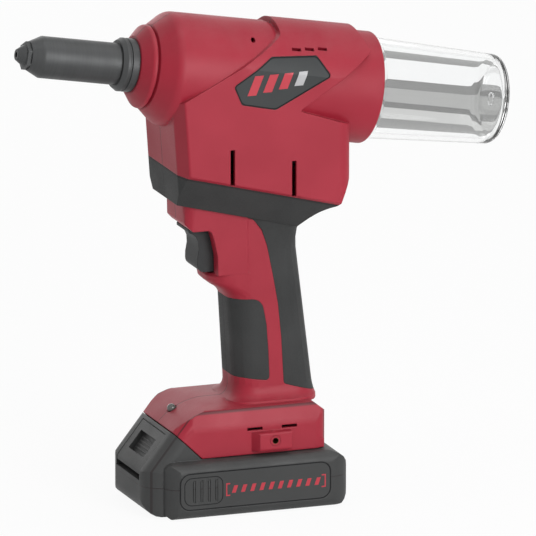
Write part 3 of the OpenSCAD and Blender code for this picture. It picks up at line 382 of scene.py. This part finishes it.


# metals: tint, brighter edge that is part wear and part painted highlight, gloss, pitch and depth of the lathe
# rings, edge round (mm)
metalFinishes = {
    "noseSteel": {"tint": (0.064, 0.066, 0.067), "edge": (0.20, 0.20, 0.21), "edgeShare": 0.5,
                  "rough": (0.44, 0.58), "pitch": 700.0, "bump": 0.20, "round": 0.35, "metal": 0.6},
    "screwBlack": {"tint": (0.060, 0.060, 0.062), "edge": (0.30, 0.30, 0.31), "edgeShare": 0.7,
                   "rough": (0.34, 0.52), "pitch": 1500.0, "bump": 0.15, "round": 0.2, "metal": 0.9},
    "groundSteel": {"tint": (0.50, 0.50, 0.52), "edge": (0.72, 0.72, 0.73), "edgeShare": 0.5,
                    "rough": (0.18, 0.36), "pitch": 1100.0, "bump": 0.14, "round": 0.25, "metal": 1.0},
    "gearSteel": {"tint": (0.36, 0.355, 0.35), "edge": (0.62, 0.62, 0.62), "edgeShare": 0.6,
                  "rough": (0.24, 0.42), "pitch": 1600.0, "bump": 0.12, "round": 0.15, "metal": 1.0},
    "motorZinc": {"tint": (0.30, 0.305, 0.315), "edge": (0.52, 0.52, 0.53), "edgeShare": 0.4,
                  "rough": (0.30, 0.48), "pitch": 500.0, "bump": 0.10, "round": 0.3, "metal": 1.0},
    "castAlloy": {"tint": (0.52, 0.525, 0.535), "edge": (0.70, 0.70, 0.71), "edgeShare": 0.4,
                  "rough": (0.42, 0.64), "pitch": 260.0, "bump": 0.30, "round": 0.5, "metal": 1.0},
    "brassDull": {"tint": (0.16, 0.11, 0.045), "edge": (0.40, 0.29, 0.13), "edgeShare": 0.4,
                  "rough": (0.36, 0.52), "pitch": 1300.0, "bump": 0.14, "round": 0.12, "metal": 0.9},
    "brassTurned": {"tint": (0.62, 0.43, 0.16), "edge": (0.85, 0.66, 0.34), "edgeShare": 0.5,
                    "rough": (0.20, 0.38), "pitch": 1300.0, "bump": 0.14, "round": 0.15, "metal": 1.0},
    "springWire": {"tint": (0.45, 0.45, 0.46), "edge": (0.62, 0.62, 0.62), "edgeShare": 0.3,
                   "rough": (0.22, 0.36), "pitch": 2200.0, "bump": 0.08, "round": 0.05, "metal": 1.0},
}
metalDetail = {"ringDeep": 0.00006, "darkShare": 0.82}


def makeMetal(name, k):
    material, tree, shader = startFinish(name)
    turned = useGroup(tree, "turned", Pitch=k["pitch"])
    edge = useGroup(tree, "edge", Radius=k["round"] * mm)
    dark = [c * metalDetail["darkShare"] for c in k["tint"]]
    tint = mixTint(tree, remap(tree, turned.outputs["Rough"], noiseNear), k["tint"], dark)
    # brighter edges: wear, and painted edge highlight
    tint = layOver(tree, tint, k["edge"], edge.outputs["Edge"], k["edgeShare"])
    tree.links.new(tint, shader.inputs["Base Color"])
    shader.inputs["Metallic"].default_value = k["metal"]
    tree.links.new(remap(tree, turned.outputs["Rough"], noiseWide, k["rough"]), shader.inputs["Roughness"])
    addBump(tree, shader, turned.outputs["Height"], k["bump"], metalDetail["ringDeep"], edge.outputs["Normal"])
    return material


clearFinishes = {
    "clearCup": {"tint": (0.97, 0.975, 0.975), "rough": (0.0, 0.03), "ior": 1.47, "clear": 1.0},
    "lampLens": {"tint": (0.16, 0.16, 0.15), "rough": (0.12, 0.30), "ior": 1.49, "clear": 0.35},
}
scuffs = {"scale": 1400.0, "show": (0.55, 0.8)}  # faint, on clear plastic


def makeClear(name, k):
    material, tree, shader = startFinish(name)
    hair = put(tree, "TexNoise", Scale=scuffs["scale"], Detail=4.0, Roughness=0.7)
    objectPlace(tree, hair)
    shader.inputs["Base Color"].default_value = (*k["tint"], 1)
    shader.inputs["Transmission Weight"].default_value = k["clear"]
    shader.inputs["IOR"].default_value = k["ior"]
    tree.links.new(remap(tree, hair.outputs[0], scuffs["show"], k["rough"]), shader.inputs["Roughness"])
    return material


boardGreen = {"tint": (0.012, 0.085, 0.036), "track": (0.030, 0.150, 0.070), "pad": (0.62, 0.46, 0.20),
              "lane": 700.0, "laneGap": 0.06, "laneEdge": (0.2, 0.8), "padScale": 420.0, "padEdge": (0.16, 0.12),
              "rough": 0.28, "bump": 0.2, "deep": 0.00005}


def makeBoard(name, k):
    material, tree, shader = startFinish(name)
    lanes = put(tree, "TexBrick", Scale=k["lane"], **{"Mortar Size": k["laneGap"]})
    spots = put(tree, "TexVoronoi", Scale=k["padScale"])
    objectPlace(tree, lanes, spots)
    tint = mixTint(tree, remap(tree, lanes.outputs["Fac"], k["laneEdge"]), k["tint"], k["track"])
    tint = mixTint(tree, remap(tree, spots.outputs["Distance"], k["padEdge"]), tint, k["pad"])
    tree.links.new(tint, shader.inputs["Base Color"])
    shader.inputs["Roughness"].default_value = k["rough"]
    addBump(tree, shader, lanes.outputs["Fac"], k["bump"], k["deep"])
    return material


# cells in printed film, with bare caps from capFrom (m) outwards
cellWrap = {"film": (0.020, 0.085, 0.20), "shade": (0.014, 0.062, 0.15), "cap": (0.60, 0.60, 0.61),
            "capFrom": 0.0318, "capEdge": 0.0003, "wrinkle": 180.0,
            "rough": (0.22, 0.36), "bump": 0.12, "deep": 0.0002}


def makeCells(name, k):
    material, tree, shader = startFinish(name)
    split = put(tree, "SeparateXYZ")
    wrinkle = put(tree, "TexNoise", Scale=k["wrinkle"], Detail=4.0)
    objectPlace(tree, split, wrinkle)
    outward = mathNode(tree, "ABSOLUTE", split.outputs["Y"])
    cap = remap(tree, outward, (k["capFrom"], k["capFrom"] + k["capEdge"]))
    film = mixTint(tree, wrinkle.outputs[0], k["film"], k["shade"])
    tree.links.new(mixTint(tree, cap, film, k["cap"]), shader.inputs["Base Color"])
    tree.links.new(cap, shader.inputs["Metallic"])
    tree.links.new(remap(tree, wrinkle.outputs[0], noiseWide, k["rough"]), shader.inputs["Roughness"])
    addBump(tree, shader, wrinkle.outputs[0], k["bump"], k["deep"])
    return material


finishes = {}
for make, looks in ((makeMoulded, mouldedFinishes), (makeMetal, metalFinishes), (makeClear, clearFinishes),
                    (makeBoard, {"boardGreen": boardGreen}), (makeCells, {"cellWrap": cellWrap})):
    finishes.update({name: make(name, k) for name, k in looks.items()})
print("finishes:", len(finishes))

# which finish each piece of the frame wears
nodeFinish = {
    "redShell": "housing_left housing_right",
    "gripRubber": "grip_left grip_right pad_left pad_right",
    "batteryShell": "battery_top battery_base",
    "buttonShell": "release_button",
    "panelSatin": "battery_panel_left battery_panel_right",
    "triggerPlastic": "trigger trigger_plunger",
    "labelFilm": "label_left label_right",
    "innerPlastic": "bulkhead motor_cap switch_body terminal_block cell_holder",
    "sealRubber": "container_seal",
    "magnetBlack": "motor_magnets",
    "noseSteel": "nosepiece nose_tube lock_ring",
    "screwBlack": "housing_screws battery_screws jaw_1 jaw_2 jaw_3",
    "groundSteel": "front_bearing rear_bearing thrust_bearing guide_sleeve mandrel_tube spindle jaw_pusher rotor",
    "gearSteel": "ring_gear planet_carrier planet_gear_1 planet_gear_2 planet_gear_3 ball_nut",
    "motorZinc": "motor_can gearbox_cover",
    "castAlloy": "front_frame rear_plate",
    "brassTurned": "pinion_bush terminal_blades battery_contacts",
    "brassDull": "hook_insert_left hook_insert_right",
    "springWire": "trigger_spring latch_spring",
    "clearCup": "mandrel_container",
    "lampLens": "light_lens",
    "boardGreen": "control_board battery_board",
    "cellWrap": "battery_cells",
}
nodeShading = {"merge": 0.000005, "crisp": math.radians(31), "weight": 60}


def makeMouldSmooth():  # joins the loose triangles and shades all but the crisp edges smooth
    tree = bpy.data.node_groups.new("mouldSmooth", "GeometryNodeTree")
    tree.is_modifier = True
    tree.interface.new_socket("Mesh", in_out="INPUT", socket_type="NodeSocketGeometry")
    tree.interface.new_socket("Mesh", in_out="OUTPUT", socket_type="NodeSocketGeometry")
    start, end = tree.nodes.new("NodeGroupInput"), tree.nodes.new("NodeGroupOutput")
    join = tree.nodes.new("GeometryNodeMergeByDistance")
    join.inputs["Distance"].default_value = nodeShading["merge"]
    angle = tree.nodes.new("GeometryNodeInputMeshEdgeAngle")
    crisp = tree.nodes.new("FunctionNodeCompare")
    crisp.data_type, crisp.operation = "FLOAT", "GREATER_THAN"
    crisp.inputs[1].default_value = nodeShading["crisp"]
    normal = tree.nodes.new("GeometryNodeSetMeshNormal")
    normal.mode = "SHARPNESS"
    normal.inputs["Remove Custom"].default_value = True
    tree.links.new(start.outputs[0], join.inputs[0])
    tree.links.new(join.outputs[0], normal.inputs["Mesh"])
    tree.links.new(angle.outputs["Unsigned Angle"], crisp.inputs[0])
    tree.links.new(crisp.outputs[0], normal.inputs["Edge Sharpness"])
    tree.links.new(normal.outputs[0], end.inputs[0])
    return tree


mouldSmooth = makeMouldSmooth()
for finish, names in nodeFinish.items():
    for name in names.split():
        node = nodes[name]
        node.data.materials.clear()
        node.data.materials.append(finishes[finish])
        node.modifiers.new("mouldSmooth", "NODES").node_group = mouldSmooth
        weighted = node.modifiers.new("flatFaces", "WEIGHTED_NORMAL")
        weighted.keep_sharp = True
        weighted.weight = nodeShading["weight"]
print("dressed", sum(len(v.split()) for v in nodeFinish.values()), "frame nodes")

# new pieces: each starts from a bmesh shape in mm, is moved into place and rides on a body
pieceShading = {"merge": 1e-7, "crisp": math.radians(35)}
aroundX = Matrix.Rotation(math.pi / 2, 3, "X")  # quarter turn, from flat to upright


def meshObject(name, bm):
    data = bpy.data.meshes.new(name)
    bm.to_mesh(data)
    bm.free()
    made = bpy.data.objects.new(name, data)
    bpy.context.scene.collection.objects.link(made)
    return made


def finishPiece(name, bm, finish, body):
    bmesh.ops.remove_doubles(bm, verts=bm.verts, dist=pieceShading["merge"])
    bmesh.ops.recalc_face_normals(bm, faces=bm.faces)
    piece = meshObject(name, bm)
    piece.data.materials.append(finishes[finish])
    piece.data.shade_smooth()
    piece.data.set_sharp_from_angle(angle=pieceShading["crisp"])
    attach(piece, body)
    return piece


def raiseFaces(bm, shift):  # all faces become a plate
    grown = bmesh.ops.extrude_face_region(bm, geom=list(bm.faces))
    moved = [v for v in grown["geom"] if isinstance(v, bmesh.types.BMVert)]
    bmesh.ops.translate(bm, verts=moved, vec=shift)


def roundOff(bm, geom, affect, offset, segments):
    bmesh.ops.bevel(bm, geom=geom, offset=offset, offset_type="OFFSET", affect=affect, segments=segments,
                    profile=0.5, material=-1)


def insetFaces(bm, faces, thickness):
    bmesh.ops.inset_region(bm, faces=faces, thickness=thickness, use_even_offset=True, use_boundary=True)


def largestFace(bm):
    return max(bm.faces, key=lambda f: f.calc_area())


def flatFace(bm, corners):  # upright face in X and Z
    return bm.faces.new([bm.verts.new((x, 0, z)) for x, z in corners])


def shiftMm(spot):
    return Matrix.Translation([c * mm for c in spot])


def placeMm(bm, place):
    bmesh.ops.transform(bm, verts=bm.verts, matrix=place @ Matrix.Scale(mm, 4))


def addWireRing(bm, wire, steps, spot, filled):  # section of a wire, upright
    ring = bmesh.ops.create_circle(bm, segments=steps, radius=wire, cap_ends=filled)["verts"]
    bmesh.ops.rotate(bm, verts=ring, cent=(0, 0, 0), matrix=aroundX)
    bmesh.ops.translate(bm, verts=ring, vec=spot)


def spinRound(bm, steps):
    bmesh.ops.spin(bm, geom=list(bm.verts) + list(bm.edges), cent=(0, 0, 0), axis=(0, 0, 1), angle=2 * math.pi,
                   steps=steps, use_merge=True)


# label: outline and bars in X and Z from the barrel axis, depths under the body's skin
labelTrim = {"outline": [(8.9, 1.4), (-14.6, 15.8), (-42.0, 13.8), (-49.1, 2.4), (-15.8, -14.0), (4.2, -9.6)],
             "corner": 2.0, "cornerSteps": 5, "inset": 0.15, "rim": 0.7, "longEdge": 3, "cuts": 9,
             "base": 0.15, "rimTop": 0.03, "barTop": 0.06,
             "bars": [(-4.0, "markRed"), (-13.0, "markRed"), (-22.0, "markRed"), (-31.0, "markGrey")],
             "barWide": 5.2, "barTall": 11.0, "barShrink": 1.1, "barSlant": 0.42, "barMiddle": 0.6,
             "barClimb": -0.068, "barCells": (4, 10)}


def labelSkin(x, z, sink):  # half width of the body's skin beside the barrel, drawn in by sink
    c, s = math.cos(barrel["tilt"]), math.sin(barrel["tilt"])
    down = x * s - z * c
    flat, radius = barrel["flatSide"] - sink, barrel["shroudRadius"] - sink
    return flat if down > 0 else min(flat, math.sqrt(max(radius ** 2 - down ** 2, 0)))


def wrapOnBody(bm, side, base, top):  # flat XZ mesh in mm with thickness 0..1 in Y, laid on the body's side
    for v in bm.verts:
        low, high = labelSkin(v.co.x, v.co.z, base), labelSkin(v.co.x, v.co.z, top)
        deep = low + (high - low) * v.co.y
        v.co = Vector((v.co.x * mm, side * deep * mm, (v.co.z + barrel["height"]) * mm))


def addLabelRim(side, word):
    k = labelTrim
    bm = bmesh.new()
    flatFace(bm, k["outline"])
    roundOff(bm, list(bm.verts), "VERTICES", k["corner"], k["cornerSteps"])
    insetFaces(bm, list(bm.faces), k["inset"])
    middle = largestFace(bm)
    outer = [f for f in bm.faces if f != middle]
    insetFaces(bm, [middle], k["rim"])
    bmesh.ops.delete(bm, geom=outer + [largestFace(bm)], context="FACES")
    longEdges = [e for e in bm.edges if e.calc_length() > k["longEdge"]]
    bmesh.ops.subdivide_edges(bm, edges=longEdges, cuts=k["cuts"], use_grid_fill=True)
    raiseFaces(bm, (0, 1, 0))
    wrapOnBody(bm, side, k["base"], k["rimTop"])
    # the rim round the label is near black: painted shade in the gap round the label
    finishPiece("labelRim" + word, bm, "paintedGapShade", "tool")


def addLabelBars(side, word):
    k = labelTrim
    wideCells, tallCells = k["barCells"]
    for index, (x, finish) in enumerate(k["bars"]):
        bm = bmesh.new()
        bmesh.ops.create_grid(bm, x_segments=wideCells, y_segments=tallCells, size=0.5)
        bmesh.ops.rotate(bm, verts=bm.verts, cent=(0, 0, 0), matrix=aroundX)
        tall = k["barTall"] - k["barShrink"] * index
        for v in bm.verts:
            v.co.x = v.co.x * k["barWide"] - v.co.z * tall * k["barSlant"] + x
            v.co.z = v.co.z * tall + k["barMiddle"] + k["barClimb"] * x
        raiseFaces(bm, (0, 1, 0))
        wrapOnBody(bm, side, k["base"], k["barTop"])
        finishPiece("labelBar%s%d" % (word, index + 1), bm, finish, "tool")


for side, word in sides:
    addLabelRim(side, word)
    addLabelBars(side, word)
print("label trim made")

# battery panel: frames as X and Z reach, corner and line; rows as first, step or last, and count;
# low and high are counted from the panel's face
panelTrim = {"face": 38.8, "cornerSteps": 6,
             "frames": (("panelPatch", (17.4, 40.4, 8.0, 24.2), 4.6, 0.5),
                        ("panelGap", (-46.3, 42.9, 5.5, 26.7), 5.9, 0.55)), "frameLow": -0.1, "frameHigh": 0.04,
             "ribs": (34.5, 4.4, 4), "ribMiddle": 16.0, "ribWide": 1.0, "ribTall": 11.6, "ribCorner": 0.45,
             "ribRound": 0.12, "ribRoundSteps": 2, "ribLow": -0.58, "ribHigh": 0.06,
             "brackets": ((15.4, 1), (-43.0, -1)), "bracketLow": 12.0, "bracketHigh": 19.4, "bracketArm": 2.1,
             "bracketLine": 0.7, "bars": (10.5, -38.5, 10), "barMiddle": 15.7, "barWide": 2.3, "barTall": 4.2,
             "barSlant": 0.35, "markLow": -0.05, "markHigh": 0.05}


def panelPiece(name, bm, side, finish, low, high):
    for v in bm.verts:
        proud = panelTrim["face"] + low + (high - low) * v.co.y
        v.co = Vector((v.co.x * mm, side * proud * mm, v.co.z * mm))
    finishPiece(name, bm, finish, "battery")


def flatPlate(bm, x0, x1, z0, z1, slant=0.0, corner=0.0):
    corners = ((x0, z0), (x1, z0), (x1, z1), (x0, z1))
    face = flatFace(bm, [(x + (z - (z0 + z1) / 2) * slant, z) for x, z in corners])
    if corner:
        roundOff(bm, list(face.verts), "VERTICES", corner, panelTrim["cornerSteps"])


def middlePlate(bm, x, z, wide, tall, slant=0.0, corner=0.0):
    flatPlate(bm, x - wide / 2, x + wide / 2, z - tall / 2, z + tall / 2, slant, corner)


def addPanelTrim(side, word):
    k = panelTrim
    for name, reach, corner, line in k["frames"]:
        bm = bmesh.new()
        flatPlate(bm, *reach, corner=corner)
        insetFaces(bm, list(bm.faces), line)
        bmesh.ops.delete(bm, geom=[largestFace(bm)], context="FACES")
        raiseFaces(bm, (0, 1, 0))
        # the frames are near black: painted shade along the panel's outline and patch lines
        panelPiece(name + word, bm, side, "paintedGapShade", k["frameLow"], k["frameHigh"])
    first, step, count = k["ribs"]
    for index in range(count):
        bm = bmesh.new()
        middlePlate(bm, first - index * step, k["ribMiddle"], k["ribWide"], k["ribTall"], corner=k["ribCorner"])
        raiseFaces(bm, (0, 1, 0))
        rim = [e for e in bm.edges if min(v.co.y for v in e.verts) > 0.5]  # edges of the raised face
        roundOff(bm, rim, "EDGES", k["ribRound"], k["ribRoundSteps"])
        panelPiece("panelRib%s%d" % (word, index + 1), bm, side, "batteryShell", k["ribLow"], k["ribHigh"])
    bm = bmesh.new()
    low, high, line = k["bracketLow"], k["bracketHigh"], k["bracketLine"]
    for x, turn in k["brackets"]:  # a stem and two arms, pointing at each other
        outer, inner, tip = x + turn * line / 2, x - turn * line / 2, x - turn * k["bracketArm"]
        flatFace(bm, ((outer, low), (tip, low), (tip, low + line), (inner, low + line),
                      (inner, high - line), (tip, high - line), (tip, high), (outer, high)))
    raiseFaces(bm, (0, 1, 0))
    panelPiece("panelBrackets" + word, bm, side, "markRed", k["markLow"], k["markHigh"])
    bm = bmesh.new()
    first, last, count = k["bars"]
    for index in range(count):
        x = first + (last - first) * index / (count - 1)
        middlePlate(bm, x, k["barMiddle"], k["barWide"], k["barTall"], slant=-k["barSlant"])
    raiseFaces(bm, (0, 1, 0))
    panelPiece("panelBars" + word, bm, side, "markRed", k["markLow"], k["markHigh"])


for side, word in sides:
    addPanelTrim(side, word)
print("battery panel trim made")

# finger ribs in the release button's pocket
pocketRibs = {"place": (52.0, 0, 36.2), "tilt": 51.5, "floor": -3.6, "rows": (-3.3, -1.1, 1.1, 3.3),
              "long": 20.0, "wide": 0.9, "tall": 0.8, "sunk": 0.1, "round": 0.25, "roundSteps": 3}


def addPocketRibs():
    k = pocketRibs
    bm = bmesh.new()
    for row in k["rows"]:
        made = bmesh.ops.create_cube(bm, size=1.0)["verts"]
        bmesh.ops.scale(bm, verts=made, vec=(k["wide"], k["long"], k["tall"]))
        bmesh.ops.translate(bm, verts=made, vec=(row, 0, k["floor"] + k["tall"] / 2 - k["sunk"]))
    roundOff(bm, list(bm.edges), "EDGES", k["round"], k["roundSteps"])
    placeMm(bm, shiftMm(k["place"]) @ Matrix.Rotation(math.radians(k["tilt"]), 4, "Y"))
    finishPiece("buttonRibs", bm, "batteryShell", "button")


addPocketRibs()

hookFace = {"place": (-14.6, 36.0, 40.4), "hole": 1.75, "edge": 3.15, "deep": 0.08, "steps": 40}


def addHookFace(side, word):  # boss face closing round the mouth of the thread
    k = hookFace
    bm = bmesh.new()
    for radius in (k["hole"], k["edge"]):
        bmesh.ops.create_circle(bm, segments=k["steps"], radius=radius)
    bmesh.ops.bridge_loops(bm, edges=list(bm.edges))
    raiseFaces(bm, (0, 0, -k["deep"]))
    x, y, z = k["place"]
    placeMm(bm, shiftMm((x, side * y, z)) @ Matrix.Rotation(-side * math.pi / 2, 4, "X"))
    finishPiece("hookFace" + word, bm, "redShell", "tool")


for side, word in sides:
    addHookFace(side, word)

# skin of the foot's slanted rear edge, which the solids leave open: the slant's two ends in X and Z,
# reach along it from the low end, half width
rearSkin = {"low": (-47.7, 52.58), "high": (-39.54, 59.07), "start": 1.0, "stop": 8.3, "half": 26.8,
            "border": 1.2, "sunk": 0.4, "proud": 0.015, "thick": 0.6}


def addRearSkin():
    k = rearSkin
    low, high = (Vector((x, 0, z)) for x, z in (k["low"], k["high"]))
    slant, left = (high - low).normalized(), Vector((0, 1, 0))
    out = slant.cross(left)
    reach = k["stop"] - k["start"]
    bm = bmesh.new()
    bmesh.ops.create_grid(bm, x_segments=1, y_segments=1, size=0.5)
    bmesh.ops.scale(bm, verts=bm.verts, vec=(reach, 2 * k["half"], 1))
    rim = list(bm.verts)
    insetFaces(bm, list(bm.faces), k["border"])
    bmesh.ops.translate(bm, verts=rim, vec=(0, 0, -k["sunk"]))  # the border dips into the shell
    raiseFaces(bm, (0, 0, -k["thick"]))
    spot = low + slant * (k["start"] + reach / 2) + out * k["proud"]
    placeMm(bm, axesPlace(slant, left, out, spot * mm))
    finishPiece("footRearSkin", bm, "redShell", "tool")


addRearSkin()

# springs as wire coils: axis, fixed end and length in mm, share of the length that is kept
springCoils = [
    {"name": "triggerCoil", "node": "trigger_spring", "body": "tool", "joint": "trigger_press",
     "axis": (1, 0, 0), "foot": (2.1, 0, 147.0),
     "long": 9.8, "radius": 4.2, "wire": 0.35, "turns": 5, "keep": 0.49},
    {"name": "latchCoil", "node": "latch_spring", "body": "battery", "joint": "button_press",
     "axis": (0, 0, 1), "foot": (51.0, 0, 20.05),
     "long": 6.75, "radius": 2.7, "wire": 0.35, "turns": 4, "keep": 0.55},
]
wireSteps = {"section": 10, "turn": 28}


def addSpringCoil(k):
    bm = bmesh.new()
    addWireRing(bm, k["wire"], wireSteps["section"], (k["radius"], 0, k["wire"]), filled=True)
    steps = wireSteps["turn"] * k["turns"]
    rise = (k["long"] - 2 * k["wire"]) / steps
    bmesh.ops.spin(bm, geom=list(bm.faces), cent=(0, 0, 0), axis=(0, 0, 1), dvec=(0, 0, rise),
                   angle=2 * math.pi * k["turns"], steps=steps)
    turn = Vector((0, 0, 1)).rotation_difference(Vector(k["axis"])).to_matrix().to_4x4()
    placeMm(bm, shiftMm(k["foot"]) @ turn)
    piece = finishPiece(k["name"], bm, "springWire", k["body"])
    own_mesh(piece)
    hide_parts(k["node"])


for coil in springCoils:
    addSpringCoil(coil)

# container as a turned wall: radius, place along the axis and corner round in mm,
# outside up to the neck, then down inside
clearWall = {"outline": [(0, -160.67, 0), (19.0, -160.67, 0), (25.0, -160.67, 5.0), (25.31, -153.7, 0),
                         (28.33, -84.8, 0), (28.4, -83.2, 0), (29.6, -83.2, 0.4), (29.6, -81.45, 0.4),
                         (27.7, -81.45, 0), (27.7, -76.8, 0), (26.8, -76.5, 0), (26.8, -74.9, 0), (27.7, -74.6, 0),
                         (27.7, -70.0, 0.6), (25.4, -70.0, 0.3), (25.4, -79.4, 0), (25.33, -83.4, 0),
                         (22.82, -151.7, 0), (22.6, -157.7, 4.0), (17.6, -157.7, 0), (0, -157.7, 0)],
             "cornerSteps": 8, "steps": 160, "merge": 1e-4}


def addClearWall():
    k = clearWall
    bm = bmesh.new()
    rim = [bm.verts.new((radius, 0, along)) for radius, along, corner in k["outline"]]
    for first, second in zip(rim, rim[1:]):
        bm.edges.new((first, second))
    for vert, (radius, along, corner) in zip(rim, k["outline"]):
        if corner:
            roundOff(bm, [vert], "VERTICES", corner, k["cornerSteps"])
    spinRound(bm, k["steps"])
    bmesh.ops.remove_doubles(bm, verts=bm.verts, dist=k["merge"])
    placeMm(bm, barrelPlace())
    piece = finishPiece("clearWall", bm, "clearCup", "container")
    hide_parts("mandrel_container")
    return piece


cupMark = {"along": -157.5, "radius": 3.6, "wire": 0.45, "steps": 40}


def addCupMark():  # gate ring on the inside of the container's bottom
    k = cupMark
    bm = bmesh.new()
    addWireRing(bm, k["wire"], wireSteps["section"], (k["radius"], 0, 0), filled=False)
    spinRound(bm, k["steps"])
    placeMm(bm, barrelPlace() @ shiftMm((0, 0, k["along"])))
    return finishPiece("cupGateRing", bm, "clearCup", "container")


clearPieces = [addClearWall(), addCupMark()]
print("small pieces made")

# studio: pale floor, soft lamps, a pale room that shows in gloss and glass
studioFloor = {"size": 6.0, "tint": (0.86, 0.86, 0.86, 1), "rough": 0.9, "specular": 0.1, "whiteShare": 0.93}


def backgroundRays(tree):  # rays that see the white background: straight, through glass and in gloss
    path = put(tree, "LightPath")
    clear = mathNode(tree, "MAXIMUM", path.outputs["Is Camera Ray"], path.outputs["Is Transmission Ray"])
    return mathNode(tree, "MAXIMUM", clear, path.outputs["Is Glossy Ray"])


def addFloor():
    k = studioFloor
    bm = bmesh.new()
    bmesh.ops.create_grid(bm, x_segments=1, y_segments=1, size=k["size"])
    floor = meshObject("studioFloor", bm)
    material, tree, shader = startFinish("studioFloor")
    shader.inputs["Base Color"].default_value = k["tint"]
    shader.inputs["Roughness"].default_value = k["rough"]
    shader.inputs["Specular IOR Level"].default_value = k["specular"]
    white = put(tree, "Emission", Strength=1.0)
    blend = put(tree, "MixShader")
    tree.links.new(mathNode(tree, "MULTIPLY", backgroundRays(tree), k["whiteShare"]), blend.inputs[0])
    tree.links.new(shader.outputs[0], blend.inputs[1])
    tree.links.new(white.outputs[0], blend.inputs[2])
    tree.links.new(blend.outputs[0], tree.nodes["Material Output"].inputs["Surface"])
    floor.data.materials.append(material)


lampSetup = [  # name, from where (m), size, watts
    ("keyLamp", (-0.5, 1.7, 0.7), 1.0, 21.0),
    ("topLamp", (-0.2, 0.2, 1.7), 1.3, 8.0),
    ("noseLamp", (1.6, 0.4, 0.6), 0.9, 0.4),
    ("backLamp", (-0.05, -1.7, 0.62), 1.5, 6.0),
]
lampAim = Vector((0, 0, 0.14))


def skipPieces(lamp, pieces):  # the lamp lights all but these
    skips = bpy.data.collections.new(lamp.name + "Skips")
    for piece in pieces:
        skips.objects.link(piece)
    for entry in skips.collection_objects:
        entry.light_linking.link_state = "EXCLUDE"
    lamp.light_linking.receiver_collection = skips


def addLamps():
    for name, spot, size, watts in lampSetup:
        data = bpy.data.lights.new(name, "AREA")
        data.shape, data.size, data.energy = "DISK", size, watts
        lamp = bpy.data.objects.new(name, data)
        lamp.location = spot
        lamp.rotation_euler = (lampAim - Vector(spot)).to_track_quat("-Z", "Y").to_euler()
        bpy.context.scene.collection.objects.link(lamp)
        if name == "keyLamp":  # no glare of it on the clear container
            skipPieces(lamp, clearPieces)


# long grey cards that glow and are seen only through clear plastic, where they paint grey bands in the container:
# how far behind and along (m), where the middle lies on the barrel axis (mm), then upper and lower edge across the
# axis (mm) and grey
cardSetup = {"behind": 0.35, "reach": (-0.6, 0.6), "start": -121.0, "blueShare": 0.985,
             "cards": ((84.0, 51.0, 0.25), (15.2, 5.0, 0.22), (5.0, -11.0, 0.42),
                       (-11.0, -18.6, 0.18), (-18.6, -39.0, 0.60), (-39.0, -80.0, 0.25))}


def addCard(name, high, low, grey):
    k = cardSetup
    across, up, back = cameraAxes()
    axis = Vector((math.cos(barrel["tilt"]), 0, math.sin(barrel["tilt"])))
    along = (across * -axis.dot(across) + up * -axis.dot(up)).normalized()  # the axis as the camera sees it
    side = back.cross(along)
    middle = Vector((0, 0, barrel["height"] * mm)) + axis * (k["start"] * mm) - back * k["behind"]
    first, last = k["reach"]
    corners = ((first, low), (last, low), (last, high), (first, high))
    bm = bmesh.new()
    bm.faces.new([bm.verts.new(middle + along * x + side * (y * mm)) for x, y in corners])
    card = meshObject(name, bm)
    material, tree, shader = startFinish(name)
    # the cards glow grey though they are no lamps, so the bands seen through the container are painted
    glow = put(tree, "Emission", Color=(grey, grey, grey * k["blueShare"], 1))
    tree.links.new(glow.outputs[0], tree.nodes["Material Output"].inputs["Surface"])
    tree.nodes.remove(shader)
    card.data.materials.append(material)
    card.visible_camera = card.visible_diffuse = card.visible_glossy = card.visible_shadow = False


paleRoom = {"light": 0.34, "seen": 1.0}  # strength of the room as light, and as background


def addRoom():
    world = bpy.data.worlds.new("paleRoom")
    world.use_nodes = True
    tree = world.node_tree
    back = tree.nodes["Background"]
    level = remap(tree, backgroundRays(tree), (0.0, 1.0), (paleRoom["light"], paleRoom["seen"]))
    tree.links.new(level, back.inputs["Strength"])
    back.inputs["Color"].default_value = (1, 1, 1, 1)
    bpy.context.scene.world = world


addFloor()
addLamps()
for index, (high, low, grey) in enumerate(cardSetup["cards"]):
    addCard("glassShadeCard%d" % (index + 1), high, low, grey)
addRoom()
bpy.context.scene.view_settings.view_transform = "Standard"
print("studio set")
